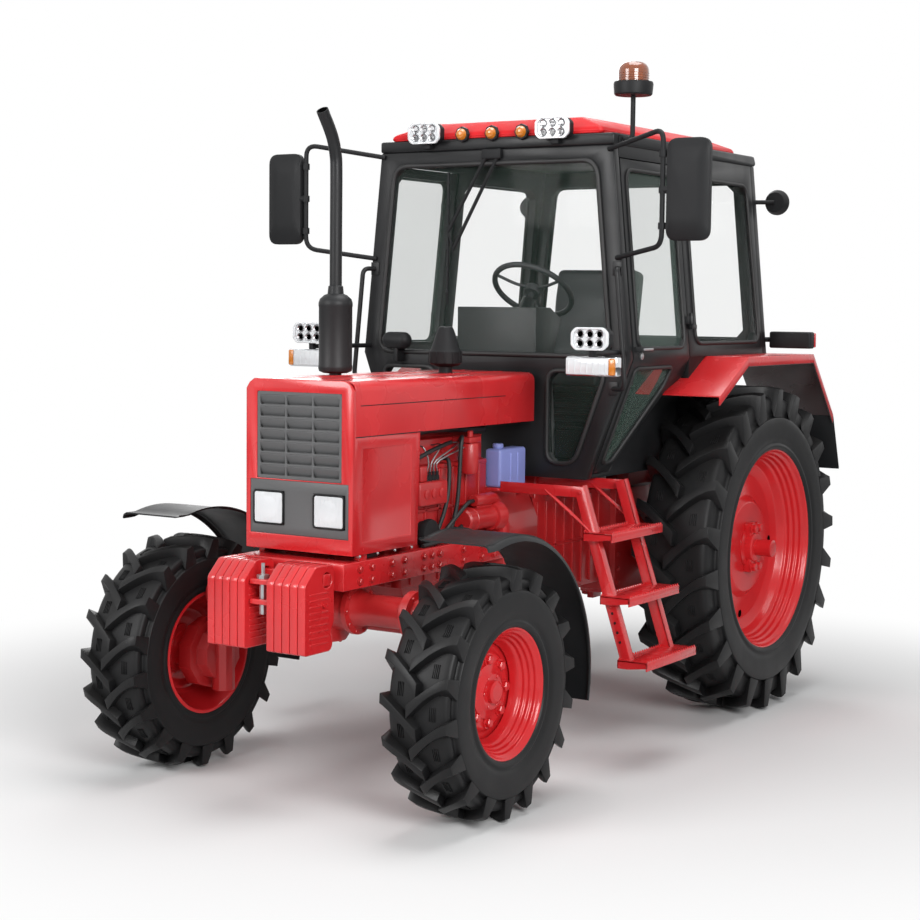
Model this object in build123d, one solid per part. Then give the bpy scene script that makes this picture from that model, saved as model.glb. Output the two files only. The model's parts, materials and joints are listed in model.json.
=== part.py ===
"""Four-wheel-drive farm tractor with a framed cab, as an assembly of named pieces.

Millimetres. +Z is up, -Y is forward and +X is the tractor's left. The origin is on the ground, under the
middle of the overall length. Pieces are built on the left or on the middle, and the right is a mirror image.
Pins and mounts are true cylinders; the holes that pins turn in and other turned pieces have flat facets.
"""

import os
from math import atan2, cos, degrees, dist, pi, radians, sin, sqrt, tan

from build123d import *

# Driving sizes: the wheels' places and the overhang behind the rear axle
WHEELBASE = 2440.0
REAR_OVERHANG = 1040.0
FRONT_TRACK = 1488.0
REAR_TRACK = 1422.0

# Front wheels
FRONT_TYRE_R = 490.0
FRONT_TYRE_W = 298.0
FRONT_BEAD_R = 254.0
FRONT_LUGS = 18
FRONT_LUG_H = 36.0
FRONT_LUG_BAR = 34.0
FRONT_FACETS = 18
FRONT_DISC_X = 10.0
FRONT_STEP_R = 165.0
FRONT_STEP = 16.0
FRONT_HUB_R = 84.0
FRONT_HUB_OUT = 52.0

# Rear wheels
REAR_TYRE_R = 790.0
REAR_TYRE_W = 390.0
REAR_BEAD_R = 483.0
REAR_LUGS = 22
REAR_LUG_H = 44.0
REAR_LUG_BAR = 42.0
REAR_FACETS = 22
REAR_DISC_X = 26.0
REAR_STEP_R = 250.0
REAR_STEP = 30.0
REAR_HUB_R = 96.0
REAR_HUB_IN = 130.0
REAR_HUB_OUT = 112.0
SHAFT_STUB = 12.0

# All tyres and rims: shares of the half width and wall height, lug slant and root, rim walls
BULGE = 0.5
SHOULDER = 0.86
LUG_SLANT = radians(42)
LUG_TILT = radians(4)
LUG_ROOT = 34.0
LUG_FLARE = 8.0
LUG_NOSE = 8.0
LUG_END = 14.0
BEAD_INSET = 19.0
RIM_WALL = 9.0
FLANGE_RISE = 22.0
WELL_DEPTH = 14.0
DISC_THICK = 14.0
HUB_FACETS = 10
HOLE_FACETS = 8

# Clearances
RUNNING_FIT = 0.05
OPEN_FIT = 0.4
DOOR_GAP = 6.0

# Front axle
AXLE_Z = 750.0
AXLE_TUBE_R = 62.0
HOUSING_R = 100.0
HOUSING_NECK_R = 84.0
HOUSING_HALF = 150.0
HOUSING_MID = 60.0
HOUSING_LOW = 606.0
FLANGE_T = 22.0
CLAMP_INSET = 112.0
CLAMP_T = 34.0
CLAMP_RISE = 34.0
SADDLE_HALF = 90.0
KINGPIN_INSET = 214.0
KINGPIN_R = 36.0
KINGPIN_LOW = 400.0
UPPER_DRIVE_R = 52.0
UPPER_LOW = 652.0
UPPER_HIGH = 846.0
UPPER_CAP = 14.0

# Knuckles, steering arms and tie rod
SLEEVE_R = 48.0
SLEEVE_LOW = 340.0
SLEEVE_HIGH = 640.0
SLEEVE_FLOOR = 8.0
DRUM_R = 150.0
DRUM_INSET = (158.0, 94.0)
DRUM_NECK_R = 110.0
SPINDLE_R = 55.0
SPINDLE_LENGTH = 58.0
SPINDLE_END_GAP = 18.0
HUB_GAP = 10.0
STEER_ARM = 170.0
ARM_HALF = 24.0
ARM_LOW = 600.0
ARM_THICK = 26.0
TIE_GAP = 6.0
TIE_EYE_R = 27.0
TIE_EYE_T = 36.0
TIE_PIN_R = 14.0
TIE_PIN_TOP = 12.0
TIE_ROD_R = 17.0
TIE_NUT_AT = 150.0
TIE_NUT_LENGTH = 60.0

# Front fenders, carried by the knuckles
FRONT_FENDER_R = 612.0
FRONT_FENDER_T = 7.0
FRONT_FENDER_INSET = 152.0
FRONT_FENDER_PAST = 158.0
FRONT_FENDER_LIP = 26.0
FRONT_FENDER_ARC = (radians(-12), radians(104))
FRONT_FENDER_FLARE = 60.0
FRONT_FENDER_FACETS = 12
STAY_R = 14.0
STAY_DROP = 60.0
STAY_BACK = 250.0
STAY_RISE = 240.0
STAY_AT = radians(24)

# Frame rails, ballast carrier and ballast
RAIL_OUTER = 262.0
RAIL_INNER = 222.0
RAIL_LOW = 855.0
RAIL_HIGH = 960.0
RAIL_WALL = 14.0
BEAM_INSET = 5.0
BEAM_AHEAD = 236.0
BEAM_BEHIND = 110.0
PLATE_COUNT = 5
PLATE_THICK = 35.0
PLATE_GAP = 2.5
PLATE_LOW = 630.0
PLATE_HIGH = 966.0
STACK_INNER = 53.0
BALLAST_AHEAD = 450.0
BALLAST_BACK = 262.0
BAR_AHEAD = (330.0, 286.0)
BAR_LOW = 884.0
BAR_HIGH = 930.0
HOOK_GAP = 4.0
CLEVIS_HALF = 42.0
CLEVIS_LOW = 806.0
CLEVIS_PLATE = 20.0
CLEVIS_AHEAD = 430.0
TOW_PIN_AHEAD = 400.0
TOW_PIN_R = 15.0

# Engine and radiator
ENGINE_HALF = 170.0
ENGINE_LOW = 790.0
ENGINE_DECK = 1290.0
HEAD_HALF = 150.0
HEAD_TOP = 1398.0
COVER_HALF = 105.0
COVER_TOP = 1478.0
SUMP_LOW = 640.0
SUMP_FRONT_LOW = 690.0
TIMING_HALF = 120.0
TIMING_T = 45.0
TIMING_INSET = (10.0, 50.0)
ENGINE_BACK = 290.0
HEAD_INSET = (20.0, 10.0)
COVER_INSET = (40.0, 30.0)
SUMP_INSET = (30.0, 20.0)
SUMP_BEND = (60.0, 300.0)
ENGINE_FOOT_Y = (60.0, 160.0)
FAN_Z = 1160.0
FAN_R = 205.0
FAN_HUB_R = 48.0
FAN_AHEAD = (135.0, 110.0)
FAN_NOSE = 150.0
PUMP_OUT = 236.0
PUMP_Y = (40.0, 250.0)
PUMP_Z = (1130.0, 1230.0)
PUMP_LID_Y = (60.0, 110.0)
PUMP_LID_INSET = (20.0, 10.0)
PUMP_LID_TALL = 66.0
OUTLETS = 4
OUTLET_AT = 130.0
OUTLET_PITCH = 28.0
OUTLET_R = 9.0
OUTLET_TALL = 38.0
STARTER_R = 52.0
STARTER_Z = 1042.0
STARTER_LONG = 280.0
SOLENOID_R = 27.0
SOLENOID_RISE = 78.0
SOLENOID_AHEAD = (190.0, 20.0)
STRAP_AHEAD = (170.0, 40.0)
STRAP_HALF = 10.0
FILTER_R = 40.0
FILTER_GAP = 22.0
FILTER_AHEAD = 205.0
FILTER_TALL = 160.0
FILTER_HEAD_HALF = (24.0, 45.0)
FILTER_HEAD_T = 26.0
ALTERNATOR_R = 66.0
ALTERNATOR_Z = 1090.0
ALTERNATOR_Y = (30.0, 190.0)
BRACKET_Y = (60.0, 150.0)
BRACKET_HALF = 20.0
MANIFOLD_INSET = (10.0, 60.0)
MANIFOLD_DROP = (28.0, 16.0)
MANIFOLD_OUT = 212.0
RADIATOR_HALF = 236.0
RADIATOR_TOP = 1580.0
RADIATOR_Y = (-62.0, 36.0)
FILLER_R = 40.0
FILLER_TALL = 32.0

# Hood, nose, grille and headlamps
HOOD_HALF = 262.0
HOOD_TOP = 1662.0
HOOD_SKIRT = 1446.0
HOOD_EASE = (40.0, 16.0)
SHEET = 5.0
NOSE_AHEAD = 180.0
HOOD_GAP = 48.0
NOSE_THICK = 20.0
PANEL_LOW = 985.0
PANEL_BACK = 272.0
PANEL_LEAN = 16.0
PANEL_T = 12.0
GRILLE_HALF = 208.0
GRILLE_LOW = 1266.0
GRILLE_HIGH = 1612.0
LOUVRE_COLUMNS = 3
LOUVRE_ROWS = 7
LOUVRE_BAR = 7.0
LOUVRE_DEPTH = 8.0
LAMP_PANEL_HALF = 242.0
LAMP_PANEL_LOW = 1046.0
LAMP_PANEL_GAP = 4.0
HEADLAMP_X = (72.0, 224.0)
HEADLAMP_Z = (1083.0, 1218.0)
HEADLAMP_PROUD = 6.0
HEADLAMP_DEEP = 60.0
HEADLAMP_EASE = 12.0

# Exhaust, pre-cleaner and washer tank
MUFFLER_X = -180.0
MUFFLER_BACK = 305.0
MUFFLER_R = 72.0
MUFFLER_LOW = 1676.0
MUFFLER_HIGH = 1980.0
MUFFLER_CONE = 20.0
RISER_R = 27.0
PIPE_R = 26.0
PIPE_BEND = 2560.0
PIPE_TOP = 2745.0
PIPE_REACH = 95.0
CLEANER_BACK = 873.0
CLEANER_R = 73.0
CLEANER_CAP_R = 34.0
CLEANER_LOW = 1700.0
CLEANER_BOWL = 64.0
CLEANER_CAP = 100.0
STEM_R = 30.0
STEM_GAP = 6.0
TANK_X = (150.0, 232.0)
TANK_LOW = 1160.0
TANK_HIGH = 1330.0
TANK_LONG = 224.0
TANK_BACK = 16.0
TANK_NECK_R = 24.0
TANK_NECK_TALL = 22.0
SHELF_T = 14.0

# Transmission and rear axle
CLUTCH_AHEAD = 300.0
CLUTCH_PLATE = 60.0
CLUTCH_HALF = 220.0
CLUTCH_LOW_HALF = 190.0
CLUTCH_TOP_HALF = 170.0
CLUTCH_SIDE_Z = (800.0, 1000.0)
CLUTCH_Z = (690.0, 1110.0)
GEARBOX_AHEAD = 1120.0
GEARBOX_HALF = 180.0
GEARBOX_LOW = 620.0
GEARBOX_TOP = 1080.0
CAB_FOOT_LONG = 110.0
CAB_FOOT_AT = (40.0, 50.0)
CASE_AHEAD = 340.0
CASE_BACK = 250.0
CASE_HALF = 210.0
CASE_LOW = 560.0
CASE_TOP = 1060.0
LIFT_CASE_HALF = 150.0
LIFT_CASE_BACK = 120.0
CAB_POST_BACK = 200.0
LIFT_CASE_TOP = 1150.0
AXLE_SHAFT_R = 42.0
AXLE_SHAFT_INSET = 266.0
AXLE_SHAFT_GAP = 8.0
AXLE_SLEEVE_INSET = 206.0
AXLE_SLEEVE_R = (128.0, 104.0)
AXLE_SLEEVE_NECK = (300.0, 415.0)
PTO_R = 17.5
PTO_Z = 660.0
PTO_LENGTH = 80.0
PTO_FLANGE_R = 62.0
PTO_FLANGE_T = 12.0

# Drawbar
DRAWBAR_HALF = 60.0
DRAWBAR_T = 40.0
DRAWBAR_AHEAD = 200.0
DRAWBAR_BACK = 470.0
DRAWBAR_HOLE_R = 16.0

# Rear linkage: lift arms and lower links move as a parallelogram
LIFT_ARM = 300.0
LIFT_ARM_X = (288.0, 312.0)
LIFT_ARM_HALF = 36.0
LIFT_ARM_TIP = 26.0
ROCKSHAFT_BACK = 290.0
ROCKSHAFT_Z = 1090.0
ROCKSHAFT_R = 34.0
ROCKSHAFT_BOSS = 56.0
LINK_BACK = 200.0
LINK_Z = 470.0
LINK_PIN_X = 262.0
LINK_PIVOT_R = 16.0
LINK_HALF = 30.0
LINK_T = 24.0
LINK_X = 238.0
LINK_BEND_X = 302.0
LINK_END_X = 415.0
LINK_EYE_R = 38.0
LINK_BORE_R = 14.35
LINK_EYE_T = 48.0
LINK_LUG = 35.0
LINK_LUG_HALF = 45.0
LINK_WAIST = (40.0, 60.0)
LINK_EYE_PAST = 2.0
ROD_X = 272.0
ROD_R = 11.0
ROD_EYE_R = 30.0
ROD_EYE_T = 18.0
ROD_PIN_R = 15.0
TOP_LINK_R = 12.85
TOP_LINK_BACK = 60.0
TOP_LINK_Z = 930.0
TOP_LUG_X = (26.0, 46.0)
TOP_LUG_HALF = 50.0
TOP_LUG_PAST = 35.0

# Cab: half widths at floor, belt and top, planes and walls
CAB_AHEAD = 1190.0
CAB_BEHIND = 310.0
CAB_FLOOR = 1190.0
BELT = 1730.0
CAB_TOP = 2660.0
FLOOR_HALF = 503.0
BELT_HALF = 705.0
TOP_HALF = 612.0
WALL = 46.0
TUB_CLEAR = 26.0
TUB_WALL = 15.0
FLOOR_T = 20.0
FOOT_LONG = 190.0
FOOT_WALL = 18.0
PILLAR_AHEAD = 573.0
PILLAR_W = 68.0
GLASS = 6.0
GLASS_INSET = 12.0
WINDOW_EASE = 45.0
SCREEN_SIDE = 86.0
SCREEN_LOW = 8.0
SCREEN_HIGH = 64.0
LOWER_PANE_IN = 39.0
LOWER_PANE_LOW = 67.0
LOWER_PANE_HIGH = 58.0
REAR_SIDE = 99.0
REAR_LOW = 70.0
REAR_HIGH = 80.0
QUARTER_LOW = 60.0
QUARTER_HIGH = 100.0
QUARTER_BACK = 40.0
QUARTER_RAKE = 30.0
TOP_OVER = 4.0
TOP_HIGH = 52.0
DRIP_LIP = 24.0
ROOF_HIGH = 84.0
ROOF_LIP = 26.0
ROOF_HALF = 556.0
ROOF_CROWN_HALF = 405.0
ROOF_BACK = 110.0
ROOF_FRONT = 2.0
ROOF_RAKE = 95.0

# Doors and hinges
DOOR_T = 40.0
DOOR_TOP = 58.0
DOOR_LOW = 26.0
DOOR_SILL = 130.0
DOOR_FRAME = 44.0
DOOR_CLEAR = 14.0
HINGE_HEIGHTS = (1900.0, 2440.0)
HINGE_OUT = 20.0
HINGE_R = 8.0
HINGE_WALL = 7.0
HINGE_BARREL = 40.0
HINGE_PIN = 84.0
HINGE_LEAF = 34.0
HINGE_FOOT = 10.0
HANDLE_Z = 1772.0
HANDLE_HALF = 12.0
HANDLE_OUT = 34.0
HANDLE_LONG = 120.0

# Inside the cab
STEER_BACK = 375.0
STEER_Z = 2030.0
STEER_TILT = radians(38)
STEER_R = 190.0
STEER_GRIP_R = 14.0
STEER_HUB_R = 38.0
STEER_FACETS = 14
STEER_GRIP_SIDES = 5
STUB_R = 14.0
STUB_LENGTH = 125.0
COLUMN_R = 34.0
COLUMN_GAP = 60.0
COLUMN_LENGTH = 420.0
DASH_HALF = 210.0
DASH_TOP = 1950.0
DASH_KNEE = 1700.0
DASH_DEEP = 150.0
DASH_REACH = 230.0
DASH_EDGE = 50.0
DASH_TOP_LONG = 100.0
SEAT_AHEAD = 420.0
SEAT_HALF = 240.0
SEAT_LOW = 1560.0
SEAT_TOP = 1690.0
SEAT_BACK_TOP = 2160.0
SEAT_POST_HALF = 150.0
SEAT_POST_Y = (-60.0, 200.0)
CUSHION_Y = (-190.0, 260.0)
BACKREST_FOOT = (200.0, 290.0)
BACKREST_HEAD = (290.0, 370.0)

# Rear fenders: outline along y (from the rear axle) and z
FENDER_PAST = 209.0
FENDER_SHEET = 8.0
FENDER_LIP = 46.0
FENDER_LINE = [(-701.0, 1560.0), (-391.0, 1730.0), (406.0, 1730.0), (694.0, 1414.0)]
FLAP_END = (795.0, 1137.0)
FLAP_SHEET = 12.0
FLAP_INSET = 60.0

# Ladders
LADDER_TOP = (620.0, 1190.0)
LADDER_LOW = (868.0, 440.0)
LADDER_Y = (-282.0, 128.0)
LADDER_RAIL = 24.0
LADDER_PLATE = 10.0
LADDER_ARM = 46.0
TREAD_HEIGHTS = (1000.0, 735.0, 470.0)
TREAD_IN = 20.0
TREAD_OUT = 120.0
TREAD_EDGE = 24.0
TREAD_SHEET = 6.0
TREAD_PAST = (30.0, 30.0)
BRACE_R = 9.0

# Mirrors, handles and lamps
TUBE_R = 11.0
MIRROR_AHEAD = 160.0
MIRROR_X = (950.0, 1150.0)
MIRROR_Z = (2235.0, 2660.0)
MIRROR_DEEP = 44.0
MIRROR_EASE = 34.0
MIRROR_POST_X = 932.0
MIRROR_ROOTS = (20.0, 65.0)
MIRROR_POST = (40.0, 20.0)
HANDLE_TOP = 2125.0
HANDLE_FOOT = 1600.0
HANDLE_AHEAD = 60.0
HANDLE_SPREAD = (5.0, 65.0)
ROOF_LAMP_X = (250.0, 425.0)
ROOF_LAMP_Z = (30.0, 126.0)
ROOF_LAMP_DEEP = 60.0
ARM_LAMP_AHEAD = 375.0
ARM_LAMP_X = (642.0, 818.0)
ARM_LAMP_Z = (1776.0, 1872.0)
ARM_LAMP_DEEP = 70.0
ARM_Z = 1762.0
TURN_LAMP_X = (611.0, 853.0)
TURN_LAMP_Z = (1668.0, 1750.0)
TURN_LAMP_DEEP = 60.0
REAR_LAMP_X = (650.0, 780.0)
REAR_LAMP_Z = (2440.0, 2530.0)
REAR_LAMP_BACK = (30.0, 80.0)
MARKER_PITCH = 157.0
MARKER_HALF = 34.0
MARKER_Z = (40.0, 100.0)
MARKER_DEEP = 40.0
TAIL_LAMP_X = (700.0, 925.0)
TAIL_LAMP_Z = (1757.0, 1840.0)
TAIL_LAMP_BACK = (40.0, 110.0)
BEACON_X = 668.0
BEACON_BACK = 70.0
BEACON_BASE_R = 88.0
BEACON_DOME_R = 68.0
BEACON_LOW = 2872.0
BEACON_SEAT = 2930.0
BEACON_TOP = 3015.0
WIPER_HALF = 50.0
WIPER_BLADE_X = -230.0
WIPER_BLADE_Z = (1960.0, 2560.0)

# Derived places
LENGTH = FRONT_TYRE_R + WHEELBASE + REAR_OVERHANG
FRONT_Y = FRONT_TYRE_R - LENGTH / 2
REAR_Y = FRONT_Y + WHEELBASE
FRONT_WHEEL_X = FRONT_TRACK / 2
REAR_WHEEL_X = REAR_TRACK / 2
KINGPIN_X = FRONT_WHEEL_X - KINGPIN_INSET
CLAMP_X = KINGPIN_X - CLAMP_INSET
DRUM_IN = FRONT_WHEEL_X - DRUM_INSET[0]
DRUM_OUT = FRONT_WHEEL_X - DRUM_INSET[1]
FRONT_FENDER_IN = FRONT_WHEEL_X - FRONT_FENDER_INSET
FRONT_FENDER_OUT = FRONT_WHEEL_X + FRONT_FENDER_PAST
AXLE_SHAFT_IN = REAR_WHEEL_X - AXLE_SHAFT_INSET
AXLE_SLEEVE_END = REAR_WHEEL_X - AXLE_SLEEVE_INSET
TUB_HALF = REAR_WHEEL_X - REAR_TYRE_W / 2 - TUB_CLEAR
FENDER_OUTER = REAR_WHEEL_X + FENDER_PAST
CAB_FRONT = REAR_Y - CAB_AHEAD
CAB_REAR = REAR_Y + CAB_BEHIND
PILLAR_Y = REAR_Y - PILLAR_AHEAD
CLUTCH_FRONT = CAB_FRONT - CLUTCH_AHEAD
CASE_REAR = REAR_Y + CASE_BACK
ENGINE_FRONT = FRONT_Y + ENGINE_BACK
HOOD_REAR = CAB_FRONT - HOOD_GAP
NOSE_Y = FRONT_Y - NOSE_AHEAD
ROOF_LOW = CAB_TOP + TOP_HIGH
DOOR_HIGH = CAB_TOP - DOOR_TOP
ROCKSHAFT = (REAR_Y + ROCKSHAFT_BACK, ROCKSHAFT_Z)
LINK_PIVOT = (REAR_Y + LINK_BACK, LINK_Z)
LINK_END_Y = REAR_Y + REAR_OVERHANG - LINK_EYE_R
ARM_HIGH = ARM_LOW + ARM_THICK
TIE_LOW = ARM_HIGH + TIE_GAP
TIE_HIGH = TIE_LOW + TIE_EYE_T
STACK_OUTER = STACK_INNER + PLATE_COUNT * PLATE_THICK + (PLATE_COUNT - 1) * PLATE_GAP
BAR_Y = (FRONT_Y - BAR_AHEAD[0], FRONT_Y - BAR_AHEAD[1])
TOW_PIN = (0.0, FRONT_Y - TOW_PIN_AHEAD)
MUFFLER = (MUFFLER_X, FRONT_Y + MUFFLER_BACK)
CLEANER = (0.0, FRONT_Y + CLEANER_BACK)
STEER_CENTRE = (0.0, CAB_FRONT + STEER_BACK, STEER_Z)
COLUMN_DIR = (0.0, sin(STEER_TILT), cos(STEER_TILT))
MIRROR_Y = CAB_FRONT - MIRROR_AHEAD
ARM_LAMP_Y = CAB_FRONT - ARM_LAMP_AHEAD


def block(x, y, z):
    """Box between the low and high values of x, y and z."""
    centre = Pos(sum(x) / 2, sum(y) / 2, sum(z) / 2)
    return centre * Box(x[1] - x[0], y[1] - y[0], z[1] - z[0])


def rod(start, end, radius):
    """Round bar between two points."""
    a, b = Vector(*start), Vector(*end)
    low_end = (Align.CENTER, Align.CENTER, Align.MIN)
    return Plane(origin=a, z_dir=b - a) * Cylinder(radius, (b - a).length, align=low_end)


def bar(start, end, radius, sides=8):
    """Bar with flat sides between two points."""
    a, b = Vector(*start), Vector(*end)
    return extrude(Plane(origin=a, z_dir=b - a) * RegularPolygon(radius, sides), amount=(b - a).length)


def pin_hole(start, end, radius, sides=HOLE_FACETS):
    """Cutter for the hole that a pin turns in: its flat sides lie at the radius."""
    a, b = Vector(*start), Vector(*end)
    outline = RegularPolygon(radius, sides, major_radius=False)
    return extrude(Plane(origin=a, z_dir=b - a) * outline, amount=(b - a).length)


def plate_x(outline, x):
    """Prism across the tractor from an outline in y and z."""
    face = Plane.YZ.offset(x[0]) * Polygon(*outline, align=None)
    return extrude(face, amount=x[1] - x[0], dir=(1, 0, 0))


def plate_y(outline, y):
    """Prism along the tractor from an outline in x and z."""
    face = Plane.XZ.offset(-y[0]) * Polygon(*outline, align=None)
    return extrude(face, amount=y[1] - y[0], dir=(0, 1, 0))


def plate_z(outline, z):
    """Upright prism from an outline in x and y."""
    face = Plane.XY.offset(z[0]) * Polygon(*outline, align=None)
    return extrude(face, amount=z[1] - z[0], dir=(0, 0, 1))


def skinned(rings, closed=False):
    """Solid with flat faces through rings of corners, capped at both ends or closed on itself."""
    loop = rings + rings[:1] if closed else rings
    faces = []
    for low, high in zip(loop, loop[1:]):
        for i in range(len(low)):
            faces.append(Face(Wire.make_polygon([low[i - 1], low[i], high[i], high[i - 1]])))
    if not closed:
        faces += [Face(Wire.make_polygon(ring)) for ring in (rings[0], rings[-1])]
    return Part(Solid(Shell(faces)).wrapped)


def faceted(profile, sides, closed=False):
    """Turned piece about the x axis with flat facets, from an outline in x and radius."""
    turns = [2 * pi * k / sides for k in range(sides)]
    return skinned([[(x, r * cos(a), r * sin(a)) for a in turns] for x, r in profile], closed)


def upright(shape):
    """A piece made about the x axis, set up about the z axis."""
    return Rot(0, -90, 0) * shape


def tube(points, radius, sides=6):
    """Bar with flat sides along a line of points, mitred at its corners."""
    line = [Vector(*p) for p in points]
    ways = [(b - a).normalized() for a, b in zip(line, line[1:])]
    start = Plane(origin=line[0], z_dir=ways[0])
    turns = [2 * pi * k / sides for k in range(sides)]
    rings = [[start.from_local_coords(Vector(radius * cos(a), radius * sin(a), 0)) for a in turns]]
    for i, point in enumerate(line[1:]):
        across = ways[i] + ways[min(i + 1, len(ways) - 1)]
        rings.append([p + ways[i] * ((point - p).dot(across) / ways[i].dot(across)) for p in rings[-1]])
    return skinned(rings)


def eased(points, cut):
    """The outline with every corner cut off, at one distance along both of its edges."""
    line = []
    for before, corner, after in zip(points[-1:] + points[:-1], points, points[1:] + points[:1]):
        for end in (before, after):
            share = cut / dist(corner, end)
            line.append(tuple(c + (e - c) * share for c, e in zip(corner, end)))
    return line


def mirrored(shape):
    """The same shape on the tractor's other side."""
    return mirror(shape, about=Plane.YZ)


def together(shapes):
    """Solids that don't touch, as one node."""
    return Compound(children=[Part(shape.wrapped) for shape in shapes])


def both(shape):
    """The shape and its mirror image."""
    return together([shape, mirrored(shape)])


def sides(left):
    """Named left pieces and their right mirror images."""
    pieces = {f"{name}_left": shape for name, shape in left.items()}
    pieces.update({f"{name}_right": mirrored(shape) for name, shape in left.items()})
    return pieces


def full_outline(half_points):
    """Closed outline from the points of its left half."""
    return half_points + [(-x, z) for x, z in reversed(half_points)]


def cab_half(z):
    """Half width of the cab's outside at a height."""
    if z < BELT:
        return FLOOR_HALF + (BELT_HALF - FLOOR_HALF) * (z - CAB_FLOOR) / (BELT - CAB_FLOOR)
    return BELT_HALF + (TOP_HALF - BELT_HALF) * (z - BELT) / (CAB_TOP - BELT)


def side_strip(low, high, outer, inner):
    """Corners, in x and z, of the left cab wall between two heights, set in from its outside face."""
    return [
        (cab_half(low) - outer, low),
        (cab_half(high) - outer, high),
        (cab_half(high) - inner, high),
        (cab_half(low) - inner, low),
    ]


def across_wall(outline):
    """Prism across the left cab wall from an outline in y and z."""
    return plate_x(outline, (TOP_HALF / 2, BELT_HALF + TOP_HALF / 2))


# Wheels


def tyre(radius, width, bead, lugs, lug_height, lug_bar, facets):
    """Tyre about the x axis: a bulged carcass with two staggered rows of slanting lugs."""
    half = width / 2
    tread = radius - lug_height
    left = [(half - BEAD_INSET, bead), (half, bead + BULGE * (tread - bead)), (SHOULDER * half, tread)]
    carcass = faceted(left + [(-x, r) for x, r in reversed(left)], facets, closed=True)
    long = half - LUG_END + LUG_NOSE
    slant = long * tan(LUG_SLANT) / 2
    reach = slant + lug_bar / 2
    flat = sqrt(radius**2 - reach**2)
    top = Plane(
        origin=(-LUG_NOSE, flat, 0),
        x_dir=(cos(LUG_TILT), -sin(LUG_TILT), 0),
        z_dir=(sin(LUG_TILT), cos(LUG_TILT), 0),
    )

    def lug_ring(depth, bar_half):
        ends = [
            (0, -slant - bar_half),
            (long, slant - bar_half),
            (long, slant + bar_half),
            (0, bar_half - slant),
        ]
        return [top.from_local_coords(Vector(*end, -depth)) for end in ends]

    lug = skinned([lug_ring(0, lug_bar / 2), lug_ring(lug_height + LUG_ROOT, lug_bar / 2 + LUG_FLARE)])
    pitch = 360 / lugs
    lowest = -90 - degrees(atan2(reach, flat))
    rows = []
    for k in range(lugs):
        rows.append(Rot(lowest + k * pitch, 0, 0) * lug)
        rows.append(Rot(lowest + (k + 0.5) * pitch, 0, 0) * mirrored(lug))
    return carcass + rows


def rim(bead, seat, disc, step_r, step, facets):
    """Rim about the x axis: barrel with flanges, and a disc with a raised centre."""
    outer = seat + RIM_WALL
    inner = bead - RIM_WALL - OPEN_FIT
    well = inner - WELL_DEPTH
    profile = [
        (disc - DISC_THICK, well),
        (-outer, inner),
        (-outer, bead + FLANGE_RISE),
        (-seat, bead - OPEN_FIT),
        (seat, bead - OPEN_FIT),
        (outer, bead + FLANGE_RISE),
        (outer, inner),
        (disc, well),
        (disc, step_r),
        (disc + step, step_r - step),
    ]
    return faceted(profile, facets)


def wheels():
    """Tyres and rims of both axles, at their places."""
    front_seat = FRONT_TYRE_W / 2 - BEAD_INSET
    front_rim = rim(FRONT_BEAD_R, front_seat, FRONT_DISC_X, FRONT_STEP_R, FRONT_STEP, FRONT_FACETS)
    hub_in = DRUM_OUT + HUB_GAP - FRONT_WHEEL_X
    front_rim += bar((hub_in, 0, 0), (FRONT_HUB_OUT, 0, 0), FRONT_HUB_R, HUB_FACETS)
    bore_end = hub_in + SPINDLE_LENGTH - HUB_GAP + SPINDLE_END_GAP
    front_rim -= pin_hole((hub_in, 0, 0), (bore_end, 0, 0), SPINDLE_R + RUNNING_FIT)
    rear_seat = REAR_TYRE_W / 2 - BEAD_INSET
    rear_rim = rim(REAR_BEAD_R, rear_seat, REAR_DISC_X, REAR_STEP_R, REAR_STEP, REAR_FACETS)
    rear_rim += bar((-REAR_HUB_IN, 0, 0), (REAR_HUB_OUT, 0, 0), REAR_HUB_R, HUB_FACETS)
    rear_rim += rod((AXLE_SHAFT_IN - REAR_WHEEL_X, 0, 0), (0, 0, 0), AXLE_SHAFT_R)
    rear_rim += bar((0, 0, 0), (rear_seat + SHAFT_STUB, 0, 0), AXLE_SHAFT_R)
    front_tyre = tyre(
        FRONT_TYRE_R, FRONT_TYRE_W, FRONT_BEAD_R, FRONT_LUGS, FRONT_LUG_H, FRONT_LUG_BAR, FRONT_FACETS
    )
    rear_tyre = tyre(REAR_TYRE_R, REAR_TYRE_W, REAR_BEAD_R, REAR_LUGS, REAR_LUG_H, REAR_LUG_BAR, REAR_FACETS)
    front = Pos(FRONT_WHEEL_X, FRONT_Y, FRONT_TYRE_R)
    rear = Pos(REAR_WHEEL_X, REAR_Y, REAR_TYRE_R)
    left = {
        "front_tyre": front * front_tyre,
        "front_rim": front * front_rim,
        "rear_tyre": rear * rear_tyre,
        "rear_rim": rear * rear_rim,
    }
    return sides(left)


# Front axle, steering and front fenders


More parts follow.
